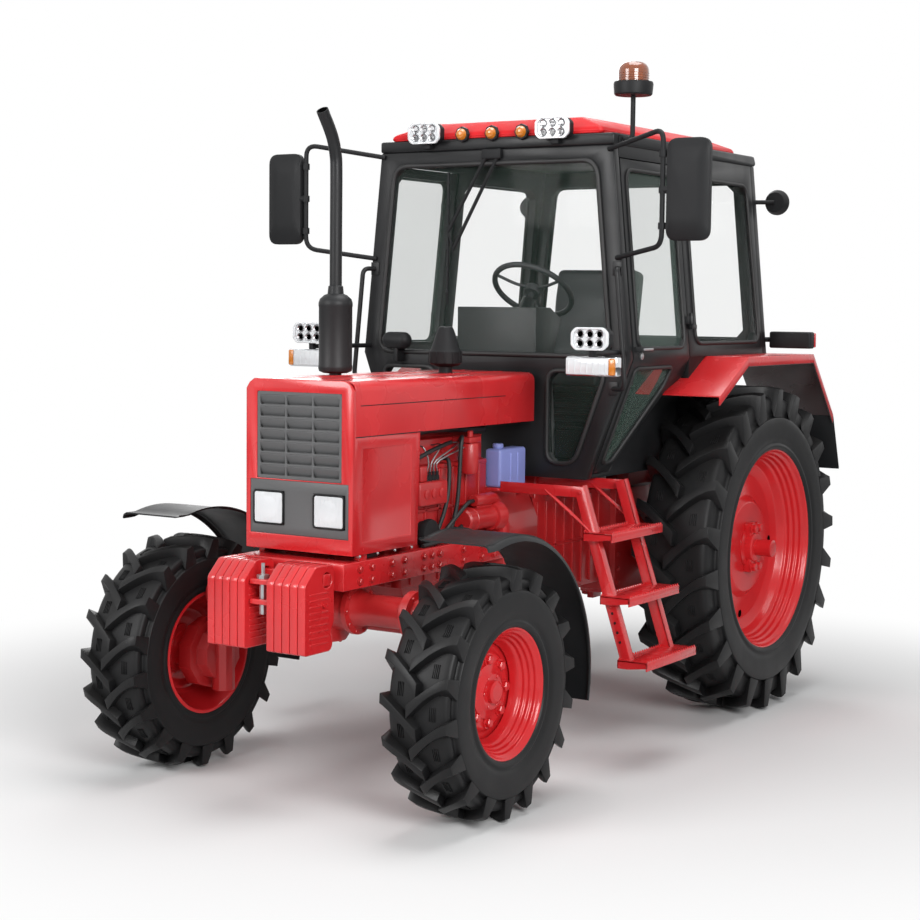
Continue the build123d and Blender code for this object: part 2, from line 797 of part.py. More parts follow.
def front_axle():
    """Centre housing with its saddle, two tubes and two upper drive housings with kingpins."""
    housing = faceted(
        [
            (-HOUSING_HALF, HOUSING_NECK_R),
            (-HOUSING_MID, HOUSING_R),
            (HOUSING_MID, HOUSING_R),
            (HOUSING_HALF, HOUSING_NECK_R),
        ],
        HUB_FACETS,
    )
    axle = housing + bar((-KINGPIN_X, 0, 0), (KINGPIN_X, 0, 0), AXLE_TUBE_R, HUB_FACETS)
    for side in (-1, 1):
        flange = (side * HOUSING_HALF, side * (HOUSING_HALF + FLANGE_T))
        clamp = (side * CLAMP_X, side * (CLAMP_X + CLAMP_T))
        axle += bar((flange[0], 0, 0), (flange[1], 0, 0), HOUSING_R, HUB_FACETS)
        axle += bar((clamp[0], 0, 0), (clamp[1], 0, 0), AXLE_TUBE_R + CLAMP_RISE, HUB_FACETS)
    axle = Pos(0, FRONT_Y, AXLE_Z) * axle
    saddle = (-SADDLE_HALF, SADDLE_HALF)
    axle += block(saddle, (FRONT_Y - HOUSING_R, FRONT_Y + HOUSING_R), (AXLE_Z, RAIL_LOW))
    axle += bar((0, FRONT_Y, HOUSING_LOW), (0, FRONT_Y, AXLE_Z), HOUSING_R, HUB_FACETS)
    for side in (-1, 1):
        place = (side * KINGPIN_X, FRONT_Y)
        axle += bar((*place, UPPER_LOW), (*place, UPPER_HIGH), UPPER_DRIVE_R)
        axle += bar((*place, UPPER_HIGH), (*place, UPPER_HIGH + UPPER_CAP), UPPER_DRIVE_R - UPPER_CAP)
        axle += rod((*place, KINGPIN_LOW), (*place, UPPER_LOW), KINGPIN_R)
    return axle


def fender_stay():
    """Bar from the left knuckle's sleeve, round behind the wheel and out to the front fender."""
    level = ARM_LOW - STAY_DROP + ARM_THICK / 2
    inner = FRONT_FENDER_R - FRONT_FENDER_T
    behind = FRONT_Y + inner * cos(STAY_AT)
    return tube(
        [
            (KINGPIN_X, FRONT_Y + SLEEVE_R / 2, level),
            (KINGPIN_X, FRONT_Y + STAY_BACK, level),
            (KINGPIN_X, behind - STAY_BACK / 6, FRONT_TYRE_R + STAY_RISE),
            (FRONT_FENDER_IN + STAY_DROP, behind, FRONT_TYRE_R + inner * sin(STAY_AT)),
        ],
        STAY_R,
    )


def knuckle():
    """Left knuckle: kingpin sleeve, reducer drum with its spindle, and steering arm with its pin."""
    x, y, z = KINGPIN_X, FRONT_Y, FRONT_TYRE_R
    arm_end = y + STEER_ARM
    body = bar((x, y, SLEEVE_LOW), (x, y, SLEEVE_HIGH), SLEEVE_R, HUB_FACETS)
    body += bar((x, y, z), (DRUM_IN, y, z), DRUM_NECK_R, HUB_FACETS)
    body += bar((DRUM_IN, y, z), (DRUM_OUT, y, z), DRUM_R, HUB_FACETS)
    body += rod((DRUM_OUT, y, z), (DRUM_OUT + SPINDLE_LENGTH, y, z), SPINDLE_R)
    body += block((x - ARM_HALF, x + ARM_HALF), (y, arm_end + ARM_HALF), (ARM_LOW, ARM_HIGH))
    body += rod((x, arm_end, ARM_HIGH), (x, arm_end, TIE_HIGH + TIE_PIN_TOP), TIE_PIN_R)
    body += fender_stay()
    return body - pin_hole((x, y, KINGPIN_LOW - SLEEVE_FLOOR), (x, y, SLEEVE_HIGH), KINGPIN_R + RUNNING_FIT)


def tie_rod():
    """Bar between the steering arms' pins, with an eye at each end."""
    y = FRONT_Y + STEER_ARM
    mid = (TIE_LOW + TIE_HIGH) / 2
    body = bar((-KINGPIN_X, y, mid), (KINGPIN_X, y, mid), TIE_ROD_R)
    for side, fit in ((1, RUNNING_FIT), (-1, OPEN_FIT)):
        x = side * KINGPIN_X
        nut = (x - side * TIE_NUT_AT, x - side * (TIE_NUT_AT - TIE_NUT_LENGTH))
        body += bar((x, y, TIE_LOW), (x, y, TIE_HIGH), TIE_EYE_R)
        body += bar((nut[0], y, mid), (nut[1], y, mid), TIE_ROD_R + TIE_GAP, 6)
        body -= pin_hole((x, y, TIE_LOW), (x, y, TIE_HIGH), TIE_PIN_R + fit)
    return body


def front_fender():
    """Left front fender: a sheet bent round the wheel, flared at its front, with a lip along its outside."""
    start, end = FRONT_FENDER_ARC
    steps = [start + (end - start) * k / FRONT_FENDER_FACETS for k in range(FRONT_FENDER_FACETS + 1)]

    def line(radius):
        points = [(radius * cos(a), radius * sin(a)) for a in steps]
        y, z = points[-1]
        return points + [(y - FRONT_FENDER_FLARE, z)]

    def strip(depth, x):
        outline = line(FRONT_FENDER_R) + line(FRONT_FENDER_R - depth)[::-1]
        return plate_x(outline, x)

    lip_x = (FRONT_FENDER_OUT - FRONT_FENDER_T, FRONT_FENDER_OUT)
    sheet = strip(FRONT_FENDER_T, (FRONT_FENDER_IN, FRONT_FENDER_OUT)) + strip(FRONT_FENDER_LIP, lip_x)
    return Pos(0, FRONT_Y, FRONT_TYRE_R) * sheet


def steering_pieces():
    """Knuckles and front fenders of both sides, and the tie rod."""
    left = {"knuckle": knuckle(), "front_fender": front_fender() - fender_stay()}
    pieces = sides(left)
    pieces["tie_rod"] = tie_rod()
    return pieces


# Frame, ballast and engine


def front_frame():
    """Two channel rails, a cross beam and the ballast carrier with its tow clevis."""
    channel = [
        (RAIL_OUTER, RAIL_LOW),
        (RAIL_OUTER, RAIL_HIGH),
        (RAIL_INNER, RAIL_HIGH),
        (RAIL_INNER, RAIL_HIGH - RAIL_WALL),
        (RAIL_OUTER - RAIL_WALL, RAIL_HIGH - RAIL_WALL),
        (RAIL_OUTER - RAIL_WALL, RAIL_LOW + RAIL_WALL),
        (RAIL_INNER, RAIL_LOW + RAIL_WALL),
        (RAIL_INNER, RAIL_LOW),
    ]
    front = FRONT_Y - BEAM_AHEAD
    beam_rear = FRONT_Y - BEAM_BEHIND
    across = (BEAM_INSET - RAIL_OUTER, RAIL_OUTER - BEAM_INSET)
    clevis = (-CLEVIS_HALF, CLEVIS_HALF)
    rail = plate_y(channel, (front, CLUTCH_FRONT))
    frame = rail + mirrored(rail)
    frame += block(across, (front, beam_rear), (RAIL_LOW, RAIL_HIGH))
    frame += block(across, (beam_rear, FRONT_Y + BEAM_BEHIND), (RAIL_LOW, RAIL_LOW + 3 * RAIL_WALL))
    frame += block(clevis, (BAR_Y[0], front), (CLEVIS_LOW, BAR_HIGH))
    frame += block((-STACK_OUTER, STACK_OUTER), BAR_Y, (BAR_LOW, BAR_HIGH))
    for low in (CLEVIS_LOW, BAR_LOW):
        frame += block(clevis, (FRONT_Y - CLEVIS_AHEAD, BAR_Y[0]), (low, low + CLEVIS_PLATE))
    return frame - pin_hole((*TOW_PIN, CLEVIS_LOW), (*TOW_PIN, BAR_HIGH), TOW_PIN_R + OPEN_FIT)


def front_weights():
    """Two stacks of hooked ballast plates on the carrier bar."""
    front, back = FRONT_Y - BALLAST_AHEAD, FRONT_Y - BALLAST_BACK
    ease = PLATE_THICK / 2
    seat = BAR_LOW - HOOK_GAP
    slot = (BAR_Y[0] - HOOK_GAP, BAR_Y[1] + HOOK_GAP)
    outline = [
        (front + ease, PLATE_LOW),
        (back - PLATE_THICK, PLATE_LOW),
        (back, PLATE_LOW + PLATE_THICK),
        (back, seat),
        (slot[0], seat),
        (slot[0], BAR_HIGH),
        (slot[1], BAR_HIGH),
        (slot[1], BAR_LOW + PLATE_THICK / 4),
        (back, BAR_LOW + PLATE_THICK / 4),
        (back, PLATE_HIGH - ease),
        (back - ease, PLATE_HIGH),
        (front + ease, PLATE_HIGH),
        (front, PLATE_HIGH - ease),
        (front, PLATE_LOW + ease),
    ]
    plates = []
    for i in range(PLATE_COUNT):
        x = STACK_INNER + i * (PLATE_THICK + PLATE_GAP)
        plate = plate_x(outline, (x, x + PLATE_THICK))
        plates += [plate, mirrored(plate)]
    return together(plates)


def tow_pin():
    """Pin through the tow clevis, with a head that rests on it and a grip."""
    seat = BAR_LOW + CLEVIS_PLATE
    body = bar((*TOW_PIN, CLEVIS_LOW - 2 * CLEVIS_PLATE), (*TOW_PIN, seat), TOW_PIN_R)
    body += bar((*TOW_PIN, seat), (*TOW_PIN, seat + TOW_PIN_R), TOW_PIN_R + CLEVIS_PLATE / 2)
    return body + bar((*TOW_PIN, seat), (*TOW_PIN, seat + 4 * TOW_PIN_R), TOW_PIN_R / 2, 6)


def engine_block():
    """Engine as one casting: sump, block, head and cover, with its side feet on the rails."""
    y0, y1 = ENGINE_FRONT, CLUTCH_FRONT
    body = block((-ENGINE_HALF, ENGINE_HALF), (y0, y1), (ENGINE_LOW, ENGINE_DECK))
    body += block((-HEAD_HALF, HEAD_HALF), (y0 + HEAD_INSET[0], y1 - HEAD_INSET[1]), (ENGINE_DECK, HEAD_TOP))
    cover_y = (y0 + COVER_INSET[0], y1 - COVER_INSET[1])
    body += block((-COVER_HALF, COVER_HALF), cover_y, (HEAD_TOP, COVER_TOP))
    sump = [
        (y0 + SUMP_INSET[0], ENGINE_LOW),
        (y0 + SUMP_BEND[0], SUMP_FRONT_LOW),
        (y0 + SUMP_BEND[1], SUMP_LOW),
        (y1 - SUMP_INSET[1], SUMP_LOW),
        (y1 - SUMP_INSET[1], ENGINE_LOW),
    ]
    body += plate_x(sump, (-HEAD_HALF, HEAD_HALF))
    feet_z = (RAIL_LOW + RAIL_WALL, RAIL_HIGH - RAIL_WALL)
    body += block((-RAIL_INNER, RAIL_INNER), (y0 + ENGINE_FOOT_Y[0], y0 + ENGINE_FOOT_Y[1]), feet_z)
    timing_z = (ENGINE_LOW + TIMING_INSET[0], ENGINE_DECK - TIMING_INSET[1])
    return body + block((-TIMING_HALF, TIMING_HALF), (y0 - TIMING_T, y0), timing_z)


def engine_fittings():
    """What is bolted to the engine's sides and front, each piece standing against the block."""
    y0, y1 = ENGINE_FRONT, CLUTCH_FRONT
    pump_top = PUMP_Z[1]
    pump = block((ENGINE_HALF, PUMP_OUT), (y0 + PUMP_Y[0], y0 + PUMP_Y[1]), PUMP_Z)
    lid_x = (ENGINE_HALF + PUMP_LID_INSET[0], PUMP_OUT - PUMP_LID_INSET[1])
    lid_y = (y0 + PUMP_LID_Y[0], y0 + PUMP_LID_Y[1])
    pump += block(lid_x, lid_y, (pump_top, pump_top + PUMP_LID_TALL))
    for i in range(OUTLETS):
        place = ((ENGINE_HALF + PUMP_OUT) / 2, y0 + OUTLET_AT + OUTLET_PITCH * i)
        pump += bar((*place, pump_top), (*place, pump_top + OUTLET_TALL), OUTLET_R, 6)
    filter_at = (HEAD_HALF + FILTER_R + FILTER_GAP, y1 - FILTER_AHEAD)
    neck = HEAD_TOP - FILTER_HEAD_T
    head_half = FILTER_HEAD_HALF
    head_y = (filter_at[1] - head_half[1], filter_at[1] + head_half[1])
    fuel = block((HEAD_HALF, filter_at[0] + head_half[0]), head_y, (neck, HEAD_TOP))
    fuel += bar((*filter_at, HEAD_TOP - FILTER_TALL), (*filter_at, neck), FILTER_R, HUB_FACETS)
    x, z = ENGINE_HALF + STARTER_R, STARTER_Z
    upper = z + SOLENOID_RISE
    starter = bar((x, y1 - STARTER_LONG, z), (x, y1, z), STARTER_R, HUB_FACETS)
    starter += bar((x, y1 - SOLENOID_AHEAD[0], upper), (x, y1 - SOLENOID_AHEAD[1], upper), SOLENOID_R)
    strap_y = (y1 - STRAP_AHEAD[0], y1 - STRAP_AHEAD[1])
    starter += block((x - STRAP_HALF, x + STRAP_HALF), strap_y, (z, upper))
    x, z = -ENGINE_HALF - ALTERNATOR_R - HOOK_GAP / 2, ALTERNATOR_Z
    bracket_y = (y0 + BRACKET_Y[0], y0 + BRACKET_Y[1])
    alternator = bar((x, y0 + ALTERNATOR_Y[0], z), (x, y0 + ALTERNATOR_Y[1], z), ALTERNATOR_R, HUB_FACETS)
    alternator += block((x, -ENGINE_HALF), bracket_y, (z - BRACKET_HALF, z + BRACKET_HALF))
    manifold_y = (y0 + MANIFOLD_INSET[0], y1 - MANIFOLD_INSET[1])
    manifold_z = (ENGINE_DECK + MANIFOLD_DROP[0], HEAD_TOP - MANIFOLD_DROP[1])
    manifold = block((-MANIFOLD_OUT, -HEAD_HALF), manifold_y, manifold_z)
    fan = bar((0, y0 - FAN_NOSE, FAN_Z), (0, y0 - TIMING_T, FAN_Z), FAN_HUB_R)
    fan += bar((0, y0 - FAN_AHEAD[0], FAN_Z), (0, y0 - FAN_AHEAD[1], FAN_Z), FAN_R, HUB_FACETS)
    return together([pump, fuel, starter, alternator, manifold, fan])


def radiator():
    """Radiator core with its filler neck, standing on the rails."""
    y = (FRONT_Y + RADIATOR_Y[0], FRONT_Y + RADIATOR_Y[1])
    body = block((-RADIATOR_HALF, RADIATOR_HALF), y, (RAIL_HIGH, RADIATOR_TOP))
    mid = sum(y) / 2
    return body + bar((0, mid, RADIATOR_TOP), (0, mid, RADIATOR_TOP + FILLER_TALL), FILLER_R)


# Hood, nose and what stands on the hood


def hood_outline(inset):
    """Left half of the hood's section, set in from its outside, from skirt to top, with eased shoulders."""
    half, top = HOOD_HALF - inset, HOOD_TOP - inset
    wide, small = HOOD_EASE
    return [(half, HOOD_SKIRT), (half, top - wide), (half - small, top - small), (half - wide, top)]


def hood():
    """Pressed hood: an open channel with eased shoulders, with holes for exhaust and air stem."""
    y = (NOSE_Y + NOSE_THICK, HOOD_REAR)
    shell = plate_y(full_outline(hood_outline(0)), y) - plate_y(full_outline(hood_outline(SHEET)), y)
    under = HOOD_TOP - 2 * SHEET
    shell -= bar((*MUFFLER, under), (*MUFFLER, HOOD_TOP + SHEET), RISER_R + STEM_GAP, HUB_FACETS)
    return shell - bar((*CLEANER, under), (*CLEANER, HOOD_TOP + SHEET), STEM_R + STEM_GAP, HUB_FACETS)


def nose_panel():
    """Front frame round grille and lamp panel, with the two side panels behind it."""
    half = [(HOOD_HALF, PANEL_LOW), *hood_outline(0)[1:]]
    through = (NOSE_Y - SHEET, NOSE_Y + NOSE_THICK + SHEET)
    back = NOSE_Y + NOSE_THICK
    panel_rear = FRONT_Y + PANEL_BACK
    face = plate_y(full_outline(half), (NOSE_Y, back))
    face -= block((-GRILLE_HALF, GRILLE_HALF), through, (GRILLE_LOW, GRILLE_HIGH))
    lamp_z = (LAMP_PANEL_LOW, GRILLE_LOW - LAMP_PANEL_GAP)
    face -= block((-LAMP_PANEL_HALF, LAMP_PANEL_HALF), through, lamp_z)
    outline = [
        (back, PANEL_LOW),
        (panel_rear, PANEL_LOW),
        (panel_rear + PANEL_LEAN, HOOD_SKIRT),
        (back, HOOD_SKIRT),
    ]
    inside = HOOD_HALF - PANEL_T
    panel = plate_x(outline, (inside, HOOD_HALF))
    frame = 4 * PANEL_T
    recess = [(back + frame, PANEL_LOW + frame), (panel_rear - frame, PANEL_LOW + frame),
              (panel_rear - frame, HOOD_SKIRT - frame), (back + frame, HOOD_SKIRT - frame)]
    panel -= plate_x(recess, (HOOD_HALF - PANEL_T / 4, HOOD_HALF))
    foot_y = (back + frame, back + 2 * frame)
    panel += block((RAIL_INNER, inside), foot_y, (RAIL_HIGH, PANEL_LOW + frame))
    return face + panel + mirrored(panel)


def grille():
    """Louvred grille set in the nose, with a pocket for each louvre."""
    front = NOSE_Y + HOOK_GAP
    body = block((-GRILLE_HALF, GRILLE_HALF), (front, NOSE_Y + NOSE_THICK), (GRILLE_LOW, GRILLE_HIGH))
    wide = (2 * GRILLE_HALF - 3 * LOUVRE_BAR) / LOUVRE_COLUMNS
    tall = (GRILLE_HIGH - GRILLE_LOW - 3 * LOUVRE_BAR) / LOUVRE_ROWS
    pockets = []
    for column in range(LOUVRE_COLUMNS):
        for row in range(LOUVRE_ROWS):
            x = -GRILLE_HALF + 2 * LOUVRE_BAR + column * wide
            z = GRILLE_LOW + 2 * LOUVRE_BAR + row * tall
            slot = [(front, z), (front + LOUVRE_DEPTH, z), (front, z + tall - LOUVRE_BAR)]
            pockets.append(plate_x(slot, (x, x + wide - LOUVRE_BAR)))
    return body - pockets


def lamp_panel():
    """Plain panel below the grille with two square openings."""
    z = (LAMP_PANEL_LOW, GRILLE_LOW - LAMP_PANEL_GAP)
    body = block((-LAMP_PANEL_HALF, LAMP_PANEL_HALF), (NOSE_Y + HOOK_GAP / 2, NOSE_Y + NOSE_THICK), z)
    hole = block(HEADLAMP_X, (NOSE_Y, NOSE_Y + NOSE_THICK), HEADLAMP_Z)
    return body - hole - mirrored(hole)


def headlamps():
    """Two square headlamps in the lamp panel, with eased lens edges."""
    y = (NOSE_Y - HEADLAMP_PROUD, NOSE_Y + HEADLAMP_DEEP)
    lamp = block(HEADLAMP_X, y, HEADLAMP_Z)
    lens = lamp.faces().sort_by(Axis.Y)[0]
    return both(chamfer(lens.edges(), HEADLAMP_PROUD - 1, HEADLAMP_EASE))


def exhaust_stack():
    """Riser from the manifold, muffler can and pipe bent forward at its tip."""
    x, y = MUFFLER
    seat = HEAD_TOP - MANIFOLD_DROP[1]
    stack = bar((x, y, seat), (x, y, MUFFLER_LOW), RISER_R)
    can = [(MUFFLER_LOW, MUFFLER_R), (MUFFLER_HIGH, MUFFLER_R), (MUFFLER_HIGH + MUFFLER_CONE, MUFFLER_R / 2)]
    stack += Pos(x, y, 0) * upright(faceted(can, 16))
    rise = PIPE_TOP - PIPE_BEND
    bend = [(0.0, -rise / 3), (0.12, 0.0), (0.45, rise / 2), (1.0, rise)]
    line = [(x, y - PIPE_REACH * share, PIPE_BEND + height) for share, height in bend]
    return stack + tube([(x, y, MUFFLER_HIGH)] + line, PIPE_R, 10)


def air_precleaner():
    """Stem through the hood with a bowl and a conical cap."""
    bowl_top = CLEANER_LOW + CLEANER_BOWL
    bowl = [
        (CLEANER_LOW, CLEANER_R),
        (bowl_top, CLEANER_R),
        (bowl_top + CLEANER_CAP, CLEANER_CAP_R),
    ]
    stem = bar((*CLEANER, COVER_TOP), (*CLEANER, CLEANER_LOW), STEM_R)
    return stem + Pos(*CLEANER, 0) * upright(faceted(bowl, 16))


def washer_tank():
    """Tank between engine and cab, on a shelf from the clutch housing."""
    start = CLUTCH_FRONT + TANK_BACK
    body = block(TANK_X, (start, start + TANK_LONG), (TANK_LOW, TANK_HIGH))
    neck = (sum(TANK_X) / 2, start + TANK_LONG / 5)
    return body + bar((*neck, TANK_HIGH), (*neck, TANK_HIGH + TANK_NECK_TALL), TANK_NECK_R)


# Transmission and rear axle


def transmission():
    """Clutch housing and gearbox in line, with cab feet and the tank's shelf."""
    plate_end = CLUTCH_FRONT + CLUTCH_PLATE
    join = REAR_Y - GEARBOX_AHEAD
    back = REAR_Y - CASE_AHEAD
    low, high = CLUTCH_SIDE_Z
    plate = [(RAIL_OUTER, low), (RAIL_OUTER, high), (CLUTCH_LOW_HALF, TANK_LOW - SHELF_T)]
    bell = [
        (CLUTCH_LOW_HALF, CLUTCH_Z[0]),
        (CLUTCH_HALF, low),
        (CLUTCH_HALF, high),
        (CLUTCH_TOP_HALF, CLUTCH_Z[1]),
    ]
    body = plate_y(full_outline(plate), (CLUTCH_FRONT, plate_end))
    body += plate_y(full_outline(bell), (plate_end, join))
    body += block((-GEARBOX_HALF, GEARBOX_HALF), (join, back), (GEARBOX_LOW, GEARBOX_TOP))
    for y in (join + CAB_FOOT_AT[0], back - CAB_FOOT_LONG - CAB_FOOT_AT[1]):
        body += block((-GEARBOX_HALF, GEARBOX_HALF), (y, y + CAB_FOOT_LONG), (GEARBOX_TOP, CAB_FLOOR))
    shelf_y = (CLUTCH_FRONT, CLUTCH_FRONT + TANK_BACK + TANK_LONG)
    body += block((TANK_X[0], TANK_X[1]), shelf_y, (TANK_LOW - SHELF_T, TANK_LOW))
    return body + block((TANK_X[0], GEARBOX_HALF), shelf_y, (high, TANK_LOW - SHELF_T))


def rear_axle():
    """Rear axle case with sleeves, hydraulic lift case, top-link lugs and power take-off shaft."""
    front, back = REAR_Y - CASE_AHEAD, CASE_REAR
    body = block((-CASE_HALF, CASE_HALF), (front, back), (CASE_LOW, CASE_TOP))
    lift = (-LIFT_CASE_HALF, LIFT_CASE_HALF)
    post = front + CAB_POST_BACK
    body += block(lift, (front + LIFT_CASE_BACK, back), (CASE_TOP, LIFT_CASE_TOP))
    body += block(lift, (post, post + CAB_FOOT_LONG), (LIFT_CASE_TOP, CAB_FLOOR))
    thick, thin = AXLE_SLEEVE_R
    neck = AXLE_SLEEVE_NECK
    profile = [(0, thick), (neck[0], thick), (neck[1], thin), (AXLE_SLEEVE_END, thin)]
    sleeve = faceted(profile, HUB_FACETS)
    shaft_in = AXLE_SHAFT_IN - AXLE_SHAFT_GAP
    sleeve -= pin_hole((shaft_in, 0, 0), (AXLE_SLEEVE_END, 0, 0), AXLE_SHAFT_R + RUNNING_FIT)
    sleeve = Pos(0, REAR_Y, REAR_TYRE_R) * sleeve
    body += sleeve + mirrored(sleeve)
    y, z = ROCKSHAFT
    body += block(lift, (back, y + ROCKSHAFT_BOSS), (z - ROCKSHAFT_BOSS, z + ROCKSHAFT_BOSS))
    body -= pin_hole((lift[0], y, z), (lift[1], y, z), ROCKSHAFT_R + RUNNING_FIT)
    y, z = LINK_PIVOT
    lug_half = LINK_LUG_HALF
    for side in (-1, 1):
        x = sorted((side * (CASE_HALF - LINK_LUG), side * CASE_HALF))
        body += block(x, (y - lug_half, y + lug_half), (z - lug_half, CASE_LOW))
        body += rod((side * CASE_HALF, y, z), (side * LINK_PIN_X, y, z), LINK_PIVOT_R)
        lug = sorted((side * TOP_LUG_X[0], side * TOP_LUG_X[1]))
        lug_z = (TOP_LINK_Z - TOP_LUG_HALF, TOP_LINK_Z + TOP_LUG_HALF)
        body += block(lug, (back, back + TOP_LINK_BACK + TOP_LUG_PAST), lug_z)
    top_link = back + TOP_LINK_BACK
    body -= rod((-TOP_LUG_X[1], top_link, TOP_LINK_Z), (TOP_LUG_X[1], top_link, TOP_LINK_Z), TOP_LINK_R)
    flange = back + PTO_FLANGE_T
    body += bar((0, back, PTO_Z), (0, flange, PTO_Z), PTO_FLANGE_R, HUB_FACETS)
    return body + rod((0, flange, PTO_Z), (0, flange + PTO_LENGTH, PTO_Z), PTO_R)


def drawbar():
    """Flat drawbar below the axle case, with its pin hole at the rear."""
    end = REAR_Y + DRAWBAR_BACK
    z = (CASE_LOW - DRAWBAR_T, CASE_LOW)
    body = block((-DRAWBAR_HALF, DRAWBAR_HALF), (REAR_Y - DRAWBAR_AHEAD, end), z)
    body += bar((0, end, z[0]), (0, end, z[1]), DRAWBAR_HALF, HUB_FACETS)
    return body - rod((0, end, z[0]), (0, end, z[1]), DRAWBAR_HOLE_R)


def lift_arms():
    """Rockshaft with an arm at each side, each with a pin for its lift rod."""
    y, z = ROCKSHAFT
    end = y + LIFT_ARM
    mid = sum(LIFT_ARM_X) / 2
    body = rod((-mid, y, z), (mid, y, z), ROCKSHAFT_R)
    outline = [
        (y - LIFT_ARM_HALF, z - LIFT_ARM_HALF),
        (y + LIFT_ARM_HALF, z - LIFT_ARM_HALF),
        (end + LIFT_ARM_TIP, z - LIFT_ARM_TIP),
        (end + LIFT_ARM_TIP, z + LIFT_ARM_TIP),
        (y + LIFT_ARM_HALF, z + LIFT_ARM_HALF),
        (y - LIFT_ARM_HALF, z + LIFT_ARM_HALF),
    ]
    pin_in = ROD_X - ROD_EYE_T
    for side in (-1, 1):
        body += plate_x(outline, sorted((side * LIFT_ARM_X[0], side * LIFT_ARM_X[1])))
        body += rod((side * pin_in, end, z), (side * LIFT_ARM_X[0], end, z), ROD_PIN_R)
    return body


def lower_links():
    """Two lower links with an eye at each end and a pin for the lift rod."""
    y, z = LINK_PIVOT
    rod_y = y + LIFT_ARM
    half = LINK_T / 2
    bend_in = LINK_BEND_X - half
    outline = [
        (LINK_X - half, y - LINK_HALF),
        (LINK_X + half, y - LINK_HALF),
        (LINK_X + half, y + LINK_HALF),
        (LINK_BEND_X + half, rod_y - LINK_WAIST[0]),
        (LINK_BEND_X + half, rod_y + LINK_WAIST[1]),
        (LINK_END_X + half, LINK_END_Y),
        (LINK_END_X - half, LINK_END_Y),
        (bend_in, rod_y + LINK_WAIST[1]),
        (bend_in, rod_y - LINK_WAIST[0]),
        (LINK_X - half, y + LINK_HALF),
    ]
    pivot = (LINK_X - half - LINK_EYE_PAST, LINK_X + half + LINK_EYE_PAST)
    end = (LINK_END_X - LINK_EYE_T / 2, LINK_END_X + LINK_EYE_T / 2)
    link = plate_z(outline, (z - LINK_HALF, z + LINK_HALF))
    link += bar((pivot[0], y, z), (pivot[1], y, z), LINK_EYE_R, HUB_FACETS)
    link += bar((end[0], LINK_END_Y, z), (end[1], LINK_END_Y, z), LINK_EYE_R, HUB_FACETS)
    link += bar((ROD_X - ROD_EYE_T, rod_y, z), (bend_in, rod_y, z), ROD_PIN_R)
    link -= pin_hole((pivot[0], y, z), (pivot[1], y, z), LINK_PIVOT_R + RUNNING_FIT)
    return both(link - rod((end[0], LINK_END_Y, z), (end[1], LINK_END_Y, z), LINK_BORE_R))


def lift_rods():
    """Two upright rods between the lift arms' pins and the lower links' pins."""
    top = (ROCKSHAFT[0] + LIFT_ARM, ROCKSHAFT[1])
    low = (LINK_PIVOT[0] + LIFT_ARM, LINK_PIVOT[1])
    body = bar((ROD_X, *low), (ROD_X, *top), ROD_R)
    eye = (ROD_X - ROD_EYE_T / 2, ROD_X + ROD_EYE_T / 2)
    for place, fit in ((top, RUNNING_FIT), (low, OPEN_FIT)):
        body += bar((eye[0], *place), (eye[1], *place), ROD_EYE_R)
        body -= pin_hole((ROD_X - ROD_EYE_T, *place), (ROD_X + ROD_EYE_T, *place), ROD_PIN_R + fit)
    return both(body)


# Cab


def cab_section(low, high):
    """Closed outline of the cab across its width, in x and z, between two heights."""
    heights = [low] + ([BELT] if low < BELT < high else []) + [high]
    return full_outline([(cab_half(z), z) for z in heights])


def outside_cab(shape):
    """What lies in front of the cab's front plane and behind its rear plane."""
    return shape - block((-2 * BELT_HALF, 2 * BELT_HALF), (CAB_FRONT, CAB_REAR), (CAB_FLOOR, CAB_TOP))


def window(low, high, side):
    """Outline, in x and z, of a window across the cab between two heights, with cut corners."""
    return eased(full_outline([(cab_half(low) - side, low), (cab_half(high) - side, high)]), WINDOW_EASE)


def windscreen():
    """Outline of the windscreen."""
    return window(BELT + SCREEN_LOW, CAB_TOP - SCREEN_HIGH, SCREEN_SIDE)


def rear_window():
    """Outline of the rear window."""
    return window(BELT + REAR_LOW, CAB_TOP - REAR_HIGH, REAR_SIDE)


def lower_pane():
    """Outline of the left lower front pane, beside the hood."""
    low, high = CAB_FLOOR + LOWER_PANE_LOW, BELT - LOWER_PANE_HIGH
    inner = HOOD_HALF + LOWER_PANE_IN
    outline = [
        (inner, low),
        (cab_half(low) - SCREEN_SIDE, low),
        (cab_half(high) - SCREEN_SIDE, high),
        (inner, high),
    ]
    return eased(outline, WINDOW_EASE)


def quarter_pane():
    """Outline, in y and z, of the window behind the door."""
    low, high = BELT + QUARTER_LOW, CAB_TOP - QUARTER_HIGH
    front, back = PILLAR_Y + PILLAR_W, CAB_REAR - WALL - QUARTER_BACK
    outline = [(front, low), (back, low), (back - QUARTER_RAKE, high), (front, high)]
    return eased(outline, WINDOW_EASE)


def cab_front():
    """Front frame with the windscreen opening and the two lower openings beside the hood."""
    y = (CAB_FRONT, CAB_FRONT + WALL)
    frame = plate_y(cab_section(CAB_FLOOR, CAB_TOP), y) - plate_y(windscreen(), y)
    pane = plate_y(lower_pane(), y)
    return frame - pane - mirrored(pane)


def cab_rear():
    """Rear frame with the rear window opening, narrower below the fenders."""
    y = (CAB_REAR - WALL, CAB_REAR)
    frame = plate_y(cab_section(BELT, CAB_TOP), y)
    frame += block((-TUB_HALF, TUB_HALF), y, (CAB_FLOOR, BELT))
    return frame - plate_y(rear_window(), y)


def fender_z(y):
    """Height of the rear fender's front facet at a place along the tractor."""
    (y0, z0), (y1, z1) = FENDER_LINE[:2]
    return z0 + (z1 - z0) * (y - REAR_Y - y0) / (y1 - y0)


def hinge_axis(z, length):
    """Ends of a stretch of the left door's hinge axis, centred at a height: it leans with the wall."""
    ends = []
    for height in (z - length / 2, z + length / 2):
        ends.append((cab_half(height) + HINGE_OUT, PILLAR_Y, height))
    return ends


